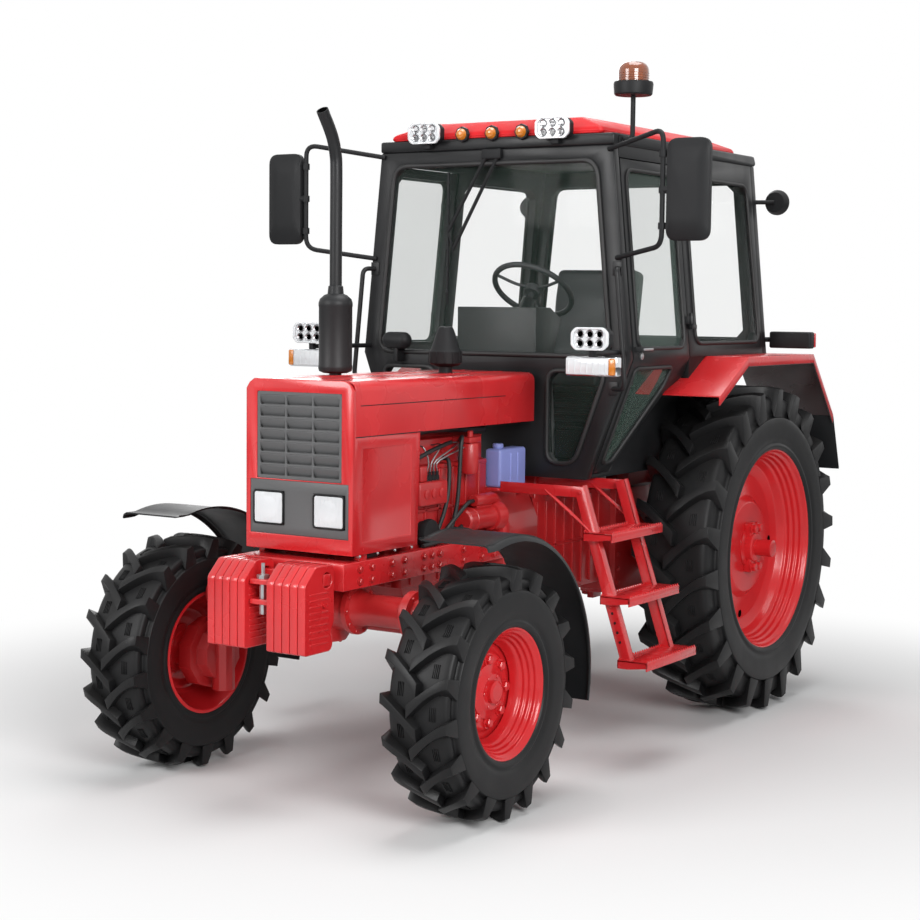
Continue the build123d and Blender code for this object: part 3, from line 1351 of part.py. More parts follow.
def hinge_pin(z, pin):
    """The pillar's half of one left door hinge: a round or flat-sided pin on a foot."""
    x = cab_half(z) + HINGE_OUT
    foot_y = (PILLAR_Y - HINGE_FOOT, PILLAR_Y + 2 * HINGE_OUT)
    foot_z = (z - HINGE_PIN / 2, z - HINGE_PIN / 2 + HINGE_OUT)
    outline = [
        (x + HINGE_FOOT, foot_y[0]),
        (x + HINGE_FOOT, foot_y[1]),
        (x - 2 * HINGE_OUT, foot_y[1]),
        (x - 2 * HINGE_OUT, PILLAR_Y + HINGE_OUT),
        (x - HINGE_FOOT, PILLAR_Y + HINGE_OUT),
        (x - HINGE_FOOT, foot_y[0]),
    ]
    return pin(*hinge_axis(z, HINGE_PIN - HINGE_OUT), HINGE_R) + plate_z(outline, foot_z)


def cab_sides():
    """Left and right walls behind the doors, each with a door header, hinge pillar and quarter opening."""
    y = (CAB_FRONT + WALL, CAB_REAR - WALL)
    wall = plate_y(side_strip(BELT, CAB_TOP, 0, WALL), y)
    door_z = (BELT, DOOR_HIGH + DOOR_GAP)
    wall -= block((TOP_HALF - 2 * WALL, BELT_HALF + WALL), (y[0], PILLAR_Y), door_z)
    wall -= across_wall(quarter_pane())
    corner_y = REAR_Y + FENDER_LINE[1][0]
    corner = [(PILLAR_Y, BELT), (corner_y, BELT), (PILLAR_Y, fender_z(PILLAR_Y))]
    wall += plate_x(corner, (BELT_HALF - WALL, BELT_HALF - DOOR_GAP))
    for z, pin in zip(HINGE_HEIGHTS, (rod, bar)):
        wall += hinge_pin(z, pin)
    return both(wall)


def door_pieces():
    """Left door frame with hinge barrels and handle, and its two panes."""
    front = CAB_FRONT + WALL + DOOR_GAP
    rear = PILLAR_Y - DOOR_GAP
    low = CAB_FLOOR + DOOR_LOW
    knee = (REAR_Y + FENDER_LINE[0][0] - DOOR_GAP, FENDER_LINE[0][1] + DOOR_CLEAR)
    upper = [(front, BELT), (rear, BELT), (rear, DOOR_HIGH), (front, DOOR_HIGH)]
    lower = [
        (front, BELT),
        (front, low),
        (front + DOOR_SILL, low),
        knee,
        (rear, fender_z(rear) + DOOR_CLEAR),
        (rear, BELT),
    ]
    bands = ((BELT, DOOR_HIGH, upper), (low, BELT, lower))
    high_pane = [
        (front + DOOR_FRAME, BELT + DOOR_FRAME),
        (rear - DOOR_FRAME, BELT + DOOR_FRAME),
        (rear - DOOR_FRAME, DOOR_HIGH - DOOR_FRAME),
        (front + DOOR_FRAME, DOOR_HIGH - DOOR_FRAME),
    ]
    low_pane = [
        (front + DOOR_FRAME, BELT - DOOR_FRAME),
        (front + DOOR_FRAME, low + DOOR_FRAME),
        (front + DOOR_SILL - DOOR_GAP, low + DOOR_FRAME),
        (knee[0] - DOOR_FRAME, knee[1] + DOOR_FRAME / 2),
        (knee[0] - DOOR_FRAME / 2, BELT - DOOR_FRAME),
    ]
    holes = (eased(high_pane, WINDOW_EASE), eased(low_pane, WINDOW_EASE / 2))
    frame = None
    glass = []
    for (z0, z1, outline), hole in zip(bands, holes):
        sheet = plate_y(side_strip(z0, z1, 0, DOOR_T), (front, rear)) & across_wall(outline)
        pane = plate_y(side_strip(z0, z1, GLASS_INSET, GLASS_INSET + GLASS), (front, rear))
        sheet -= across_wall(hole)
        glass.append(pane & across_wall(hole))
        frame = sheet if frame is None else frame + sheet
    for z in HINGE_HEIGHTS:
        x = cab_half(z) + HINGE_OUT
        leaf_z = (z - HINGE_LEAF / 2, z + HINGE_LEAF / 2)
        frame += bar(*hinge_axis(z, HINGE_BARREL), HINGE_R + HINGE_WALL, 10)
        frame += block((x - HINGE_OUT - DOOR_GAP, x), (rear - HINGE_LEAF, rear), leaf_z)
        frame -= pin_hole(*hinge_axis(z, 2 * HINGE_BARREL), HINGE_R + RUNNING_FIT)
    x = cab_half(HANDLE_Z)
    handle_z = (HANDLE_Z - HANDLE_HALF, HANDLE_Z + HANDLE_HALF)
    post_y = (front + HANDLE_HALF, front + 3 * HANDLE_HALF)
    frame += block((x - HANDLE_HALF, x + HANDLE_OUT), post_y, handle_z)
    grip_y = (post_y[0], post_y[0] + HANDLE_LONG)
    frame += block((x + HANDLE_OUT - HANDLE_HALF, x + HANDLE_OUT), grip_y, handle_z)
    return frame, together(glass)


def cab_tub():
    """Floor, inner wheel walls and sloping foot walls below the belt."""
    y = (CAB_FRONT + WALL, CAB_REAR - WALL)
    floor = block((-TUB_HALF, TUB_HALF), y, (CAB_FLOOR, CAB_FLOOR + FLOOR_T))
    edge = REAR_Y + FENDER_LINE[0][0]
    shelf = REAR_Y + FENDER_LINE[1][0]
    foot = CAB_FRONT + WALL + FOOT_LONG
    top = BELT - FENDER_SHEET
    wall_x = (TUB_HALF - TUB_WALL, TUB_HALF)
    outline = [(foot, CAB_FLOOR), (edge, FENDER_LINE[0][1]), (shelf, top), (y[1], top), (y[1], CAB_FLOOR)]
    wall = plate_x(outline, wall_x)
    back = edge + FOOT_WALL
    slope_line = [
        (foot, CAB_FLOOR),
        (foot + FOOT_WALL, CAB_FLOOR),
        (back, fender_z(back) - FENDER_SHEET),
        (edge, fender_z(edge) - FENDER_SHEET),
    ]
    slope = plate_x(slope_line, (wall_x[0], BELT_HALF))
    inset = DOOR_T + HOOK_GAP
    inside = [
        (wall_x[0] / 2, CAB_FLOOR),
        (FLOOR_HALF - inset, CAB_FLOOR),
        (BELT_HALF - inset, BELT),
        (wall_x[0] / 2, BELT),
    ]
    left = wall + (slope & plate_y(inside, y))
    return floor + left + mirrored(left)


def cab_top():
    """Black top frame over the walls, with a drip lip at the rear."""
    front, back = CAB_FRONT - TOP_OVER, CAB_REAR + DRIP_LIP
    outline = [
        (front, CAB_TOP),
        (CAB_REAR, CAB_TOP),
        (back, CAB_TOP + TOP_HIGH / 4),
        (back - DRIP_LIP, ROOF_LOW),
        (front, ROOF_LOW),
    ]
    half = TOP_HALF + TOP_OVER
    return plate_x(outline, (-half, half))


def cab_roof():
    """Red roof cap with an upright lip and sloping edges all round."""
    y = (CAB_FRONT + ROOF_FRONT, CAB_REAR - ROOF_BACK)
    high = ROOF_LOW + ROOF_HIGH
    lip = ROOF_LOW + ROOF_LIP
    across = plate_y(full_outline([(ROOF_HALF, ROOF_LOW), (ROOF_HALF, lip), (ROOF_CROWN_HALF, high)]), y)
    along = [
        (y[0], ROOF_LOW),
        (y[1], ROOF_LOW),
        (y[1], lip),
        (y[1] - ROOF_RAKE, high),
        (y[0] + ROOF_RAKE, high),
        (y[0], lip),
    ]
    return across & plate_x(along, (-ROOF_HALF, ROOF_HALF))


def cab_glazing():
    """Fixed panes: windscreen, two lower front panes, two quarter panes and the rear pane."""
    front_y = (CAB_FRONT + GLASS_INSET, CAB_FRONT + GLASS_INSET + GLASS)
    rear_y = (CAB_REAR - GLASS_INSET - GLASS, CAB_REAR - GLASS_INSET)
    low = plate_y(lower_pane(), front_y)
    side = plate_y(side_strip(BELT, CAB_TOP, GLASS_INSET, GLASS_INSET + GLASS), (PILLAR_Y, CAB_REAR - WALL))
    side = side & across_wall(quarter_pane())
    screens = [plate_y(windscreen(), front_y), plate_y(rear_window(), rear_y)]
    return together(screens + [low, mirrored(low), side, mirrored(side)])


def along_column(distance):
    """Point on the steering column's axis, from the steering wheel's centre."""
    return tuple(c + distance * d for c, d in zip(STEER_CENTRE, COLUMN_DIR))


def steering_wheel():
    """Rim, three spokes and hub about the column's axis, with a stub that turns in the column."""
    turns = [2 * pi * k / STEER_GRIP_SIDES for k in range(STEER_GRIP_SIDES)]
    grip = [(STEER_GRIP_R * cos(a), STEER_R + STEER_GRIP_R * sin(a)) for a in turns]
    ring = upright(faceted(grip, STEER_FACETS, closed=True))
    spoke = STEER_GRIP_R / 2
    wheel = ring + bar((0, 0, -STEER_GRIP_R), (0, 0, STEER_GRIP_R), STEER_HUB_R, HUB_FACETS)
    wheel += block((-STEER_R, STEER_R), (-STEER_GRIP_R, STEER_GRIP_R), (-spoke, spoke))
    wheel += block((-STEER_GRIP_R, STEER_GRIP_R), (-STEER_R, 0), (-spoke, spoke))
    wheel += rod((0, 0, -STUB_LENGTH), (0, 0, 0), STUB_R)
    return Plane(origin=STEER_CENTRE, x_dir=(1, 0, 0), z_dir=COLUMN_DIR) * wheel


def dash():
    """Instrument console on the front wall with the steering column."""
    y = CAB_FRONT + WALL
    floor = CAB_FLOOR + FLOOR_T
    outline = [
        (y, floor),
        (y + DASH_DEEP, floor),
        (y + DASH_DEEP, DASH_KNEE),
        (y + DASH_REACH, DASH_TOP - DASH_EDGE),
        (y + DASH_REACH - DASH_TOP_LONG, DASH_TOP),
        (y, DASH_TOP),
    ]
    body = plate_x(outline, (-DASH_HALF, DASH_HALF))
    body += bar(along_column(-COLUMN_LENGTH), along_column(-COLUMN_GAP), COLUMN_R, HUB_FACETS)
    bore_end = -STUB_LENGTH - STUB_R
    return body - pin_hole(along_column(bore_end), along_column(-COLUMN_GAP), STUB_R + RUNNING_FIT)


def seat():
    """Seat with cushion and backrest on a pedestal."""
    y = REAR_Y - SEAT_AHEAD
    post_y = (y + SEAT_POST_Y[0], y + SEAT_POST_Y[1])
    cushion_y = (y + CUSHION_Y[0], y + CUSHION_Y[1])
    body = block((-SEAT_POST_HALF, SEAT_POST_HALF), post_y, (CAB_FLOOR + FLOOR_T, SEAT_LOW))
    body += block((-SEAT_HALF, SEAT_HALF), cushion_y, (SEAT_LOW, SEAT_TOP))
    back = [
        (y + BACKREST_FOOT[0], SEAT_TOP),
        (y + BACKREST_FOOT[1], SEAT_TOP),
        (y + BACKREST_HEAD[1], SEAT_BACK_TOP),
        (y + BACKREST_HEAD[0], SEAT_BACK_TOP),
    ]
    return body + plate_x(back, (-SEAT_HALF, SEAT_HALF))


# Fenders, ladders and small outside pieces


def sheet_line(points, depth):
    """Outline of a bent sheet of even height below an open line of points."""
    return points + [(y, z - depth) for y, z in reversed(points)]


def rear_fenders():
    """Left and right rear fenders: bent sheets with a lip along the outer edge."""
    line = [(REAR_Y + y, z) for y, z in FENDER_LINE]
    sheet = plate_x(sheet_line(line, FENDER_SHEET), (TUB_HALF, FENDER_OUTER))
    return both(sheet + plate_x(sheet_line(line, FENDER_LIP), (FENDER_OUTER - FENDER_SHEET, FENDER_OUTER)))


def rear_flaps():
    """Black flaps below the rear edges of the fenders."""
    line = [(REAR_Y + y, z) for y, z in (FENDER_LINE[-1], FLAP_END)]
    return both(plate_x(sheet_line(line, FLAP_SHEET), (TUB_HALF + FLAP_INSET, FENDER_OUTER)))


def ladders():
    """Left and right ladders: leaning rails, three folded treads, and arms with braces below the cab."""
    (x0, z0), (x1, z1) = LADDER_TOP, LADDER_LOW
    lean = (x1 - x0) / (z1 - z0)
    y = (CAB_FRONT + LADDER_Y[0], CAB_FRONT + LADDER_Y[1])
    rail = [(x0 - LADDER_RAIL, z0), (x0 + LADDER_RAIL, z0), (x1 + LADDER_RAIL, z1), (x1 - LADDER_RAIL, z1)]
    body = None
    for start, root in zip(y, (TANK_X[1], GEARBOX_HALF)):
        across = (start, start + LADDER_PLATE)
        side = plate_y(rail, across)
        side += block((root, x0 + LADDER_RAIL), across, (z0 - LADDER_ARM, z0))
        brace_z = TREAD_HEIGHTS[0]
        foot = (x0 + lean * (brace_z - z0), start + LADDER_PLATE / 2, brace_z)
        side += tube([foot, (FLOOR_HALF - LADDER_ARM, foot[1], z0 - LADDER_ARM / 2)], BRACE_R, 4)
        body = side if body is None else body + side
    tread_y = (y[0] - TREAD_PAST[0], y[1] + LADDER_PLATE + TREAD_PAST[1])
    for z in TREAD_HEIGHTS:
        x = x0 + lean * (z - z0)
        fold = [
            (x - TREAD_IN, z),
            (x + TREAD_OUT, z),
            (x + TREAD_OUT, z - TREAD_EDGE),
            (x + TREAD_OUT - TREAD_SHEET, z - TREAD_EDGE),
            (x + TREAD_OUT - TREAD_SHEET, z - TREAD_SHEET),
            (x - TREAD_IN, z - TREAD_SHEET),
        ]
        body += plate_y(fold, tread_y)
    return both(body)


def mirrors():
    """Left and right mirrors, each on a tubular loop from the front pillar."""
    roots = []
    for z in (MIRROR_Z[1] - MIRROR_ROOTS[0], MIRROR_Z[0] - MIRROR_ROOTS[1]):
        roots.append((cab_half(z) - WALL / 2, CAB_FRONT + TUBE_R, z))
    post_z = (MIRROR_Z[1] + MIRROR_POST[0], MIRROR_Z[0] - MIRROR_POST[1])
    post = [(MIRROR_POST_X, MIRROR_Y, z) for z in post_z]
    loop = tube([roots[0], *post, roots[1]], TUBE_R)
    (x0, x1), (z0, z1) = MIRROR_X, MIRROR_Z
    face = eased([(x0, z0), (x1, z0), (x1, z1), (x0, z1)], MIRROR_EASE)
    head = plate_y(face, (MIRROR_Y - MIRROR_DEEP / 2, MIRROR_Y + MIRROR_DEEP / 2))
    mid = (z0 + z1) / 2
    pivot = bar((MIRROR_POST_X, MIRROR_Y, mid), (x0 + TUBE_R, MIRROR_Y, mid), TUBE_R + STEM_GAP)
    return both(outside_cab(loop) + head + pivot)


def grab_handles():
    """Upright handles on the front pillars."""
    top, foot = cab_half(HANDLE_TOP), cab_half(HANDLE_FOOT)
    root = CAB_FRONT + TUBE_R
    out = CAB_FRONT - HANDLE_AHEAD
    inset = WALL / 2
    points = [
        (top - inset, root, HANDLE_TOP),
        (top + HANDLE_SPREAD[0], out, HANDLE_TOP),
        (foot + HANDLE_SPREAD[1], out, HANDLE_FOOT),
        (foot - inset, root, HANDLE_FOOT),
    ]
    return both(outside_cab(tube(points, TUBE_R)))


def work_lamps():
    """Lamps on the roof's front, on the front arms and at the rear corners."""
    front = CAB_FRONT - TOP_OVER
    roof_z = (CAB_TOP + ROOF_LAMP_Z[0], CAB_TOP + ROOF_LAMP_Z[1])
    roof = block(ROOF_LAMP_X, (front - ROOF_LAMP_DEEP, front), roof_z)
    mid_x = sum(ARM_LAMP_X) / 2
    root_x = cab_half(ARM_Z) - WALL
    arm = tube([(root_x, CAB_FRONT + TUBE_R, ARM_Z), (mid_x, ARM_LAMP_Y, ARM_Z)], TUBE_R)
    lamp_y = (ARM_LAMP_Y - ARM_LAMP_DEEP / 2, ARM_LAMP_Y + ARM_LAMP_DEEP / 2)
    arm += block(ARM_LAMP_X, lamp_y, ARM_LAMP_Z)
    post_y = (ARM_LAMP_Y - TUBE_R, ARM_LAMP_Y + TUBE_R)
    arm += block((mid_x - TUBE_R, mid_x + TUBE_R), post_y, (TURN_LAMP_Z[1], ARM_LAMP_Z[0]))
    rear_z = sum(REAR_LAMP_Z) / 2
    rear = block(REAR_LAMP_X, (CAB_REAR + REAR_LAMP_BACK[0], CAB_REAR + REAR_LAMP_BACK[1]), REAR_LAMP_Z)
    root = (cab_half(rear_z) - WALL, CAB_REAR - TUBE_R, rear_z)
    rear += tube([root, (REAR_LAMP_X[0] + 2 * TUBE_R, CAB_REAR + REAR_LAMP_BACK[1] / 2, rear_z)], TUBE_R)
    lamps = [roof, outside_cab(arm), outside_cab(rear)]
    return together([shape for lamp in lamps for shape in (lamp, mirrored(lamp))])


def turn_lamps():
    """Long turn and position lamps below the front arms."""
    y = (ARM_LAMP_Y - TURN_LAMP_DEEP / 2, ARM_LAMP_Y + TURN_LAMP_DEEP / 2)
    return both(block(TURN_LAMP_X, y, TURN_LAMP_Z))


def marker_lamps():
    """Three marker lamps on the roof's front edge."""
    front = CAB_FRONT - TOP_OVER
    z = (CAB_TOP + MARKER_Z[0], CAB_TOP + MARKER_Z[1])
    lamps = []
    for x in (-MARKER_PITCH, 0.0, MARKER_PITCH):
        lamps.append(block((x - MARKER_HALF, x + MARKER_HALF), (front - MARKER_DEEP, front), z))
    return together(lamps)


def beacon():
    """Beacon on a pole from the top frame's left side."""
    x, y = BEACON_X, CAB_FRONT + BEACON_BACK
    root_z = CAB_TOP + TOP_HIGH / 2
    pole = tube([(TOP_HALF + TOP_OVER, y, root_z), (x, y, root_z), (x, y, BEACON_LOW)], TUBE_R)
    lamp = [
        (BEACON_LOW, BEACON_BASE_R - STEM_GAP),
        (BEACON_SEAT, BEACON_BASE_R),
        (BEACON_SEAT, BEACON_DOME_R),
        (BEACON_TOP - STEM_R, BEACON_DOME_R),
        (BEACON_TOP, BEACON_DOME_R - STEM_R / 2),
    ]
    return pole + Pos(x, y, 0) * upright(faceted(lamp, 16))


def tail_lamps():
    """Tail-lamp boxes above the rear fenders, on arms from the cab's rear."""
    y = (CAB_REAR + TAIL_LAMP_BACK[0], CAB_REAR + TAIL_LAMP_BACK[1])
    z = sum(TAIL_LAMP_Z) / 2
    x = cab_half(z) - WALL / 2
    arm = tube([(x, CAB_REAR, z), (x, sum(y) / 2, z), (TAIL_LAMP_X[0] + TUBE_R, sum(y) / 2, z)], TUBE_R)
    return both(block(TAIL_LAMP_X, y, TAIL_LAMP_Z) + arm)


def wiper():
    """Wiper motor over the windscreen with its arm and blade."""
    y = CAB_FRONT - STEM_GAP - TUBE_R / 2
    blade = STEM_GAP
    body = block((-WIPER_HALF, WIPER_HALF), (CAB_FRONT - DRIP_LIP, CAB_FRONT), (CAB_TOP - WALL, CAB_TOP))
    mid = sum(WIPER_BLADE_Z) / 2
    body += tube([(0, y, CAB_TOP - WALL / 2), (WIPER_BLADE_X, y, mid)], STEM_GAP)
    blade_x = (WIPER_BLADE_X - blade, WIPER_BLADE_X + blade)
    return body + block(blade_x, (y - blade, y + blade), WIPER_BLADE_Z)


def pieces():
    """Every node's name and shape."""
    made = {}
    made.update(wheels())
    made.update(steering_pieces())
    door, glass = door_pieces()
    made.update(sides({"door": door, "door_glass": glass}))
    singles = [
        front_axle, front_frame, front_weights, tow_pin, engine_block, engine_fittings, radiator, hood,
        nose_panel, grille, lamp_panel, headlamps, exhaust_stack, air_precleaner, washer_tank, transmission,
        rear_axle, drawbar, lift_arms, lower_links, lift_rods, cab_front, cab_rear, cab_sides, cab_tub, cab_top,
        cab_roof, cab_glazing, steering_wheel, dash, seat, rear_fenders, rear_flaps, ladders, mirrors,
        grab_handles, work_lamps, turn_lamps, marker_lamps, beacon, tail_lamps, wiper,
    ]
    made.update({make.__name__: make() for make in singles})
    return made


os.makedirs("parts", exist_ok=True)
for node, shape in pieces().items():
    export_step(shape, f"parts/{node}.step")
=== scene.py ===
"""Looks of a four-wheel-drive farm tractor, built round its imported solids.

Metres. +Z is up, -Y is forward and +X is the tractor's left, as in the solids.
"""

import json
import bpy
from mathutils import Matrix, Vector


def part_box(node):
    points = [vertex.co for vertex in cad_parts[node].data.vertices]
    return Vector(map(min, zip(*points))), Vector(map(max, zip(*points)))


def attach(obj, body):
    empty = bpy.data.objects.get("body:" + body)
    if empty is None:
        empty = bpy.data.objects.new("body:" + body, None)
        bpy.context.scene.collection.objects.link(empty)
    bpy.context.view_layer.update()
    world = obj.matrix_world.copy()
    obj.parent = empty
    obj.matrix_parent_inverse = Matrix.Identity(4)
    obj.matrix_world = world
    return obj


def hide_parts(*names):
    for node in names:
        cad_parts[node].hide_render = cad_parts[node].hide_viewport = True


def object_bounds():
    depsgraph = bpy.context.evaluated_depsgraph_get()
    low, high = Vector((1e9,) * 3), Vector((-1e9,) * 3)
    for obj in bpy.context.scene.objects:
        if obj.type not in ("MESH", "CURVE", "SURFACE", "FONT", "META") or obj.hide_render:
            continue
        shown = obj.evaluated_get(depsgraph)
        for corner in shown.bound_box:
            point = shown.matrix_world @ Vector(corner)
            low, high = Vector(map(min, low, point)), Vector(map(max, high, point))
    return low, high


bl_info = {
    "name": "Farm Tractor Dressing",
    "version": (1, 0, 0),
    "blender": (4, 5, 0),
    "location": "View3D > Sidebar > Tractor",
    "description": "Dresses the packed solids of a farm tractor with detailed pieces and finishes",
    "category": "Object",
}

from math import cos, pi, radians, sin

import bmesh
import bpy
from bpy.props import FloatProperty, FloatVectorProperty, IntProperty, PointerProperty
from mathutils import Matrix, Vector

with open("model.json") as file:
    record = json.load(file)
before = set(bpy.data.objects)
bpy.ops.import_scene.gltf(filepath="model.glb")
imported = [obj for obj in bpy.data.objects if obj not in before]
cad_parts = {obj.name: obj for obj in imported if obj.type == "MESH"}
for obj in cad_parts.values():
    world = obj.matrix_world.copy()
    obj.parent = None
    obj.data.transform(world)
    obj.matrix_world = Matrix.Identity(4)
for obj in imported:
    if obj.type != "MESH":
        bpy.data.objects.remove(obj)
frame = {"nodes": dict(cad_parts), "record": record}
CAD_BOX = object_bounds()

SIDES = (("left", 1), ("right", -1))
MIRROR = Matrix.Scale(-1, 4, (1, 0, 0))
# Local x and y of a flat outline laid along y and z, or along x and z
ALONG_YZ = Matrix(((0, 0, 1, 0), (1, 0, 0, 0), (0, 1, 0, 0), (0, 0, 0, 1)))
ALONG_XZ = Matrix(((1, 0, 0, 0), (0, 0, 1, 0), (0, 1, 0, 0), (0, 0, 0, 1)))
# Turns a piece made about the x axis up about the z axis
UPRIGHT = Matrix.Rotation(radians(-90), 4, "Y")
ALONG_Y = Matrix.Rotation(radians(90), 4, "Z")
# Centre and radius of the steering wheel
STEER_CENTRE = (0.0, 0.130, 2.030)
STEER_R = 0.190


class TractorColours(bpy.types.PropertyGroup):
    """Colours of the finishes."""

    red: FloatVectorProperty(
        name="Red Paint", description="Hood, roof, wheels and frame", subtype="COLOR",
        default=(0.58, 0.018, 0.022)
    )
    cast: FloatVectorProperty(
        name="Painted Castings", description="Engine, axles and gearbox", subtype="COLOR",
        default=(0.46, 0.014, 0.016)
    )
    black: FloatVectorProperty(
        name="Black Paint", description="Cab frame and front fenders", subtype="COLOR",
        default=(0.012, 0.0125, 0.0135)
    )
    rubber: FloatVectorProperty(
        name="Tyre Rubber", description="Tyres and gaskets", subtype="COLOR",
        default=(0.0085, 0.0085, 0.009)
    )
    grey: FloatVectorProperty(
        name="Grey Plastic", description="Grille and lamp panel", subtype="COLOR",
        default=(0.085, 0.086, 0.088)
    )
    glass: FloatVectorProperty(
        name="Window Glass", description="Tint of the panes", subtype="COLOR", default=(0.15, 0.23, 0.19)
    )
    lens: FloatVectorProperty(
        name="Lamp Lens", description="White lamps", subtype="COLOR", default=(0.88, 0.91, 0.93)
    )
    amber: FloatVectorProperty(
        name="Amber Lens", description="Markers and beacon", subtype="COLOR", default=(0.75, 0.24, 0.02)
    )
    beacon: FloatVectorProperty(
        name="Beacon Dome", description="Smoky amber", subtype="COLOR", default=(0.30, 0.07, 0.015)
    )
    tank: FloatVectorProperty(
        name="Washer Tank", description="Cloudy plastic tank", subtype="COLOR", default=(0.24, 0.28, 0.62)
    )
    vinyl: FloatVectorProperty(
        name="Seat Vinyl", description="Seat and grips", subtype="COLOR", default=(0.03, 0.031, 0.034)
    )
    steel: FloatVectorProperty(
        name="Bare Steel", description="Pins, bolts and fittings", subtype="COLOR",
        default=(0.42, 0.42, 0.43)
    )
    dust: FloatVectorProperty(
        name="Dust", description="Film on upward faces", subtype="COLOR", default=(0.30, 0.26, 0.21)
    )


class TractorSizes(bpy.types.PropertyGroup):
    """Sizes of the details that the solids leave out."""

    front_lugs: IntProperty(
        name="Front Lugs", description="Lugs in a row of a front tyre", default=18, min=8
    )
    rear_lugs: IntProperty(name="Rear Lugs", description="Lugs in a row of a rear tyre", default=22, min=8)
    front_bead: FloatProperty(name="Front Bead", description="Bead radius", default=0.254, unit="LENGTH")
    rear_bead: FloatProperty(name="Rear Bead", description="Bead radius", default=0.483, unit="LENGTH")
    front_lug: FloatProperty(
        name="Front Lug Height", description="Tread depth", default=0.036, unit="LENGTH"
    )
    rear_lug: FloatProperty(name="Rear Lug Height", description="Tread depth", default=0.044, unit="LENGTH")
    bolt: FloatProperty(
        name="Bolt Head", description="Half width of a frame bolt", default=0.013, unit="LENGTH"
    )
    gasket: FloatProperty(
        name="Gasket", description="Radius of a window gasket", default=0.009, unit="LENGTH"
    )


class TractorCab(bpy.types.PropertyGroup):
    """Half widths and heights of the leaning cab walls."""

    floor: FloatProperty(name="Floor", description="Height of the cab floor", default=1.190, unit="LENGTH")
    belt: FloatProperty(name="Belt", description="Height of the widest line", default=1.730, unit="LENGTH")
    top: FloatProperty(
        name="Top", description="Height of the wall's upper edge", default=2.660, unit="LENGTH"
    )
    floor_half: FloatProperty(
        name="Floor Half", description="Half width at the floor", default=0.503, unit="LENGTH"
    )
    belt_half: FloatProperty(
        name="Belt Half", description="Half width at the belt", default=0.705, unit="LENGTH"
    )
    top_half: FloatProperty(
        name="Top Half", description="Half width at the top", default=0.612, unit="LENGTH"
    )
    pillar: FloatProperty(
        name="Pillar", description="Front of the hinge pillar", default=0.372, unit="LENGTH"
    )
    pillar_wide: FloatProperty(
        name="Pillar Width", description="Along the tractor", default=0.068, unit="LENGTH"
    )
    door_frame: FloatProperty(
        name="Door Frame", description="Width of the frame", default=0.044, unit="LENGTH"
    )


class TractorStage(bpy.types.PropertyGroup):
    """Camera and floor."""

    lens: FloatProperty(name="Lens", description="Focal length in millimetres", default=72.96, min=10.0)
    yaw: FloatProperty(name="Yaw", description="Turn from +Y", default=radians(-32.46), subtype="ANGLE")
    pitch: FloatProperty(name="Pitch", description="Tilt down", default=radians(4.85), subtype="ANGLE")
    roll: FloatProperty(
        name="Roll", description="Roll about the view", default=radians(0.62), subtype="ANGLE"
    )
    place: FloatVectorProperty(
        name="Camera Place", description="Where the camera stands", subtype="TRANSLATION",
        default=(4.448, -7.487, 1.972)
    )
    floor: FloatProperty(name="Floor", description="Half width of the floor", default=40.0, unit="LENGTH")
    pale: FloatVectorProperty(
        name="Floor Colour", description="Colour of the floor", subtype="COLOR", default=(0.74, 0.74, 0.74)
    )


# Lines and outlines


def span(sign, near, far):
    """Two values on one side of the middle, the lower first."""
    return sorted((sign * near, sign * far))


def hand(sign):
    """Leaves a shape on the left, or mirrors it to the right."""
    return Matrix() if sign > 0 else MIRROR


def at(x, y, z):
    """The move to a point."""
    return Matrix.Translation((x, y, z))


def middle(node):
    """The middle of a solid's box."""
    low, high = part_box(node)
    return (low + high) / 2


def rounded(points, radius, closed=True, steps=6):
    """The line with its corners turned into short curves."""
    line = [Vector(p) for p in points]
    curve = []
    for i, corner in enumerate(line):
        if not closed and i in (0, len(line) - 1):
            curve.append(corner)
            continue
        before, after = line[i - 1] - corner, line[(i + 1) % len(line)] - corner
        reach = min(radius, 0.48 * before.length, 0.48 * after.length)
        start, end = corner + before.normalized() * reach, corner + after.normalized() * reach
        for k in range(steps + 1):
            s = k / steps
            curve.append(start * (1 - s) ** 2 + corner * (2 * s * (1 - s)) + end * s**2)
    return curve


def smooth_line(points, steps=4):
    """A smooth line through an open row of points."""
    line = [Vector(p) for p in points]
    line = [line[0] * 2 - line[1], *line, line[-1] * 2 - line[-2]]
    curve = []
    for a, b, c, d in zip(line, line[1:], line[2:], line[3:]):
        for k in range(steps):
            s = k / steps
            square, cube = a * 2 - b * 5 + c * 4 - d, b * 3 - a - c * 3 + d
            curve.append((b * 2 + (c - a) * s + square * s**2 + cube * s**3) / 2)
    return curve + [line[-2]]


def ring(count, radius, turn=0.0):
    """Points evenly round the x axis, as y and z."""
    angles = [turn + 2 * pi * k / count for k in range(count)]
    return [(radius * cos(a), radius * sin(a)) for a in angles]


# Shapes added to a mesh that is being built


def add_faces(bm, corners, faces, place=Matrix()):
    """Adds corners and faces, moved to their place."""
    made = [bm.verts.new(place @ Vector(c)) for c in corners]
    for face in faces:
        bm.faces.new([made[i] for i in face])


def add_mesh(bm, mesh, place=Matrix()):
    """Adds a copy of a mesh, moved to its place, and lets the mesh go."""
    mesh.transform(place)
    bm.from_mesh(mesh)
    bpy.data.meshes.remove(mesh)


def add_turned(bm, profile, place=Matrix(), sides=48, closed=False):
    """Adds a turned shape about the x axis from an outline in x and radius."""
    count = len(profile)
    corners = []
    for k in range(sides):
        a = 2 * pi * k / sides
        corners += [(x, r * cos(a), r * sin(a)) for x, r in profile]
    faces = []
    for k in range(sides):
        here, there = k * count, ((k + 1) % sides) * count
        for i in range(count if closed else count - 1):
            j = (i + 1) % count
            faces.append((here + i, there + i, there + j, here + j))
    if not closed:
        faces.append([k * count for k in range(sides)])
        faces.append([k * count + count - 1 for k in range(sides)])
    add_faces(bm, corners, faces, place)


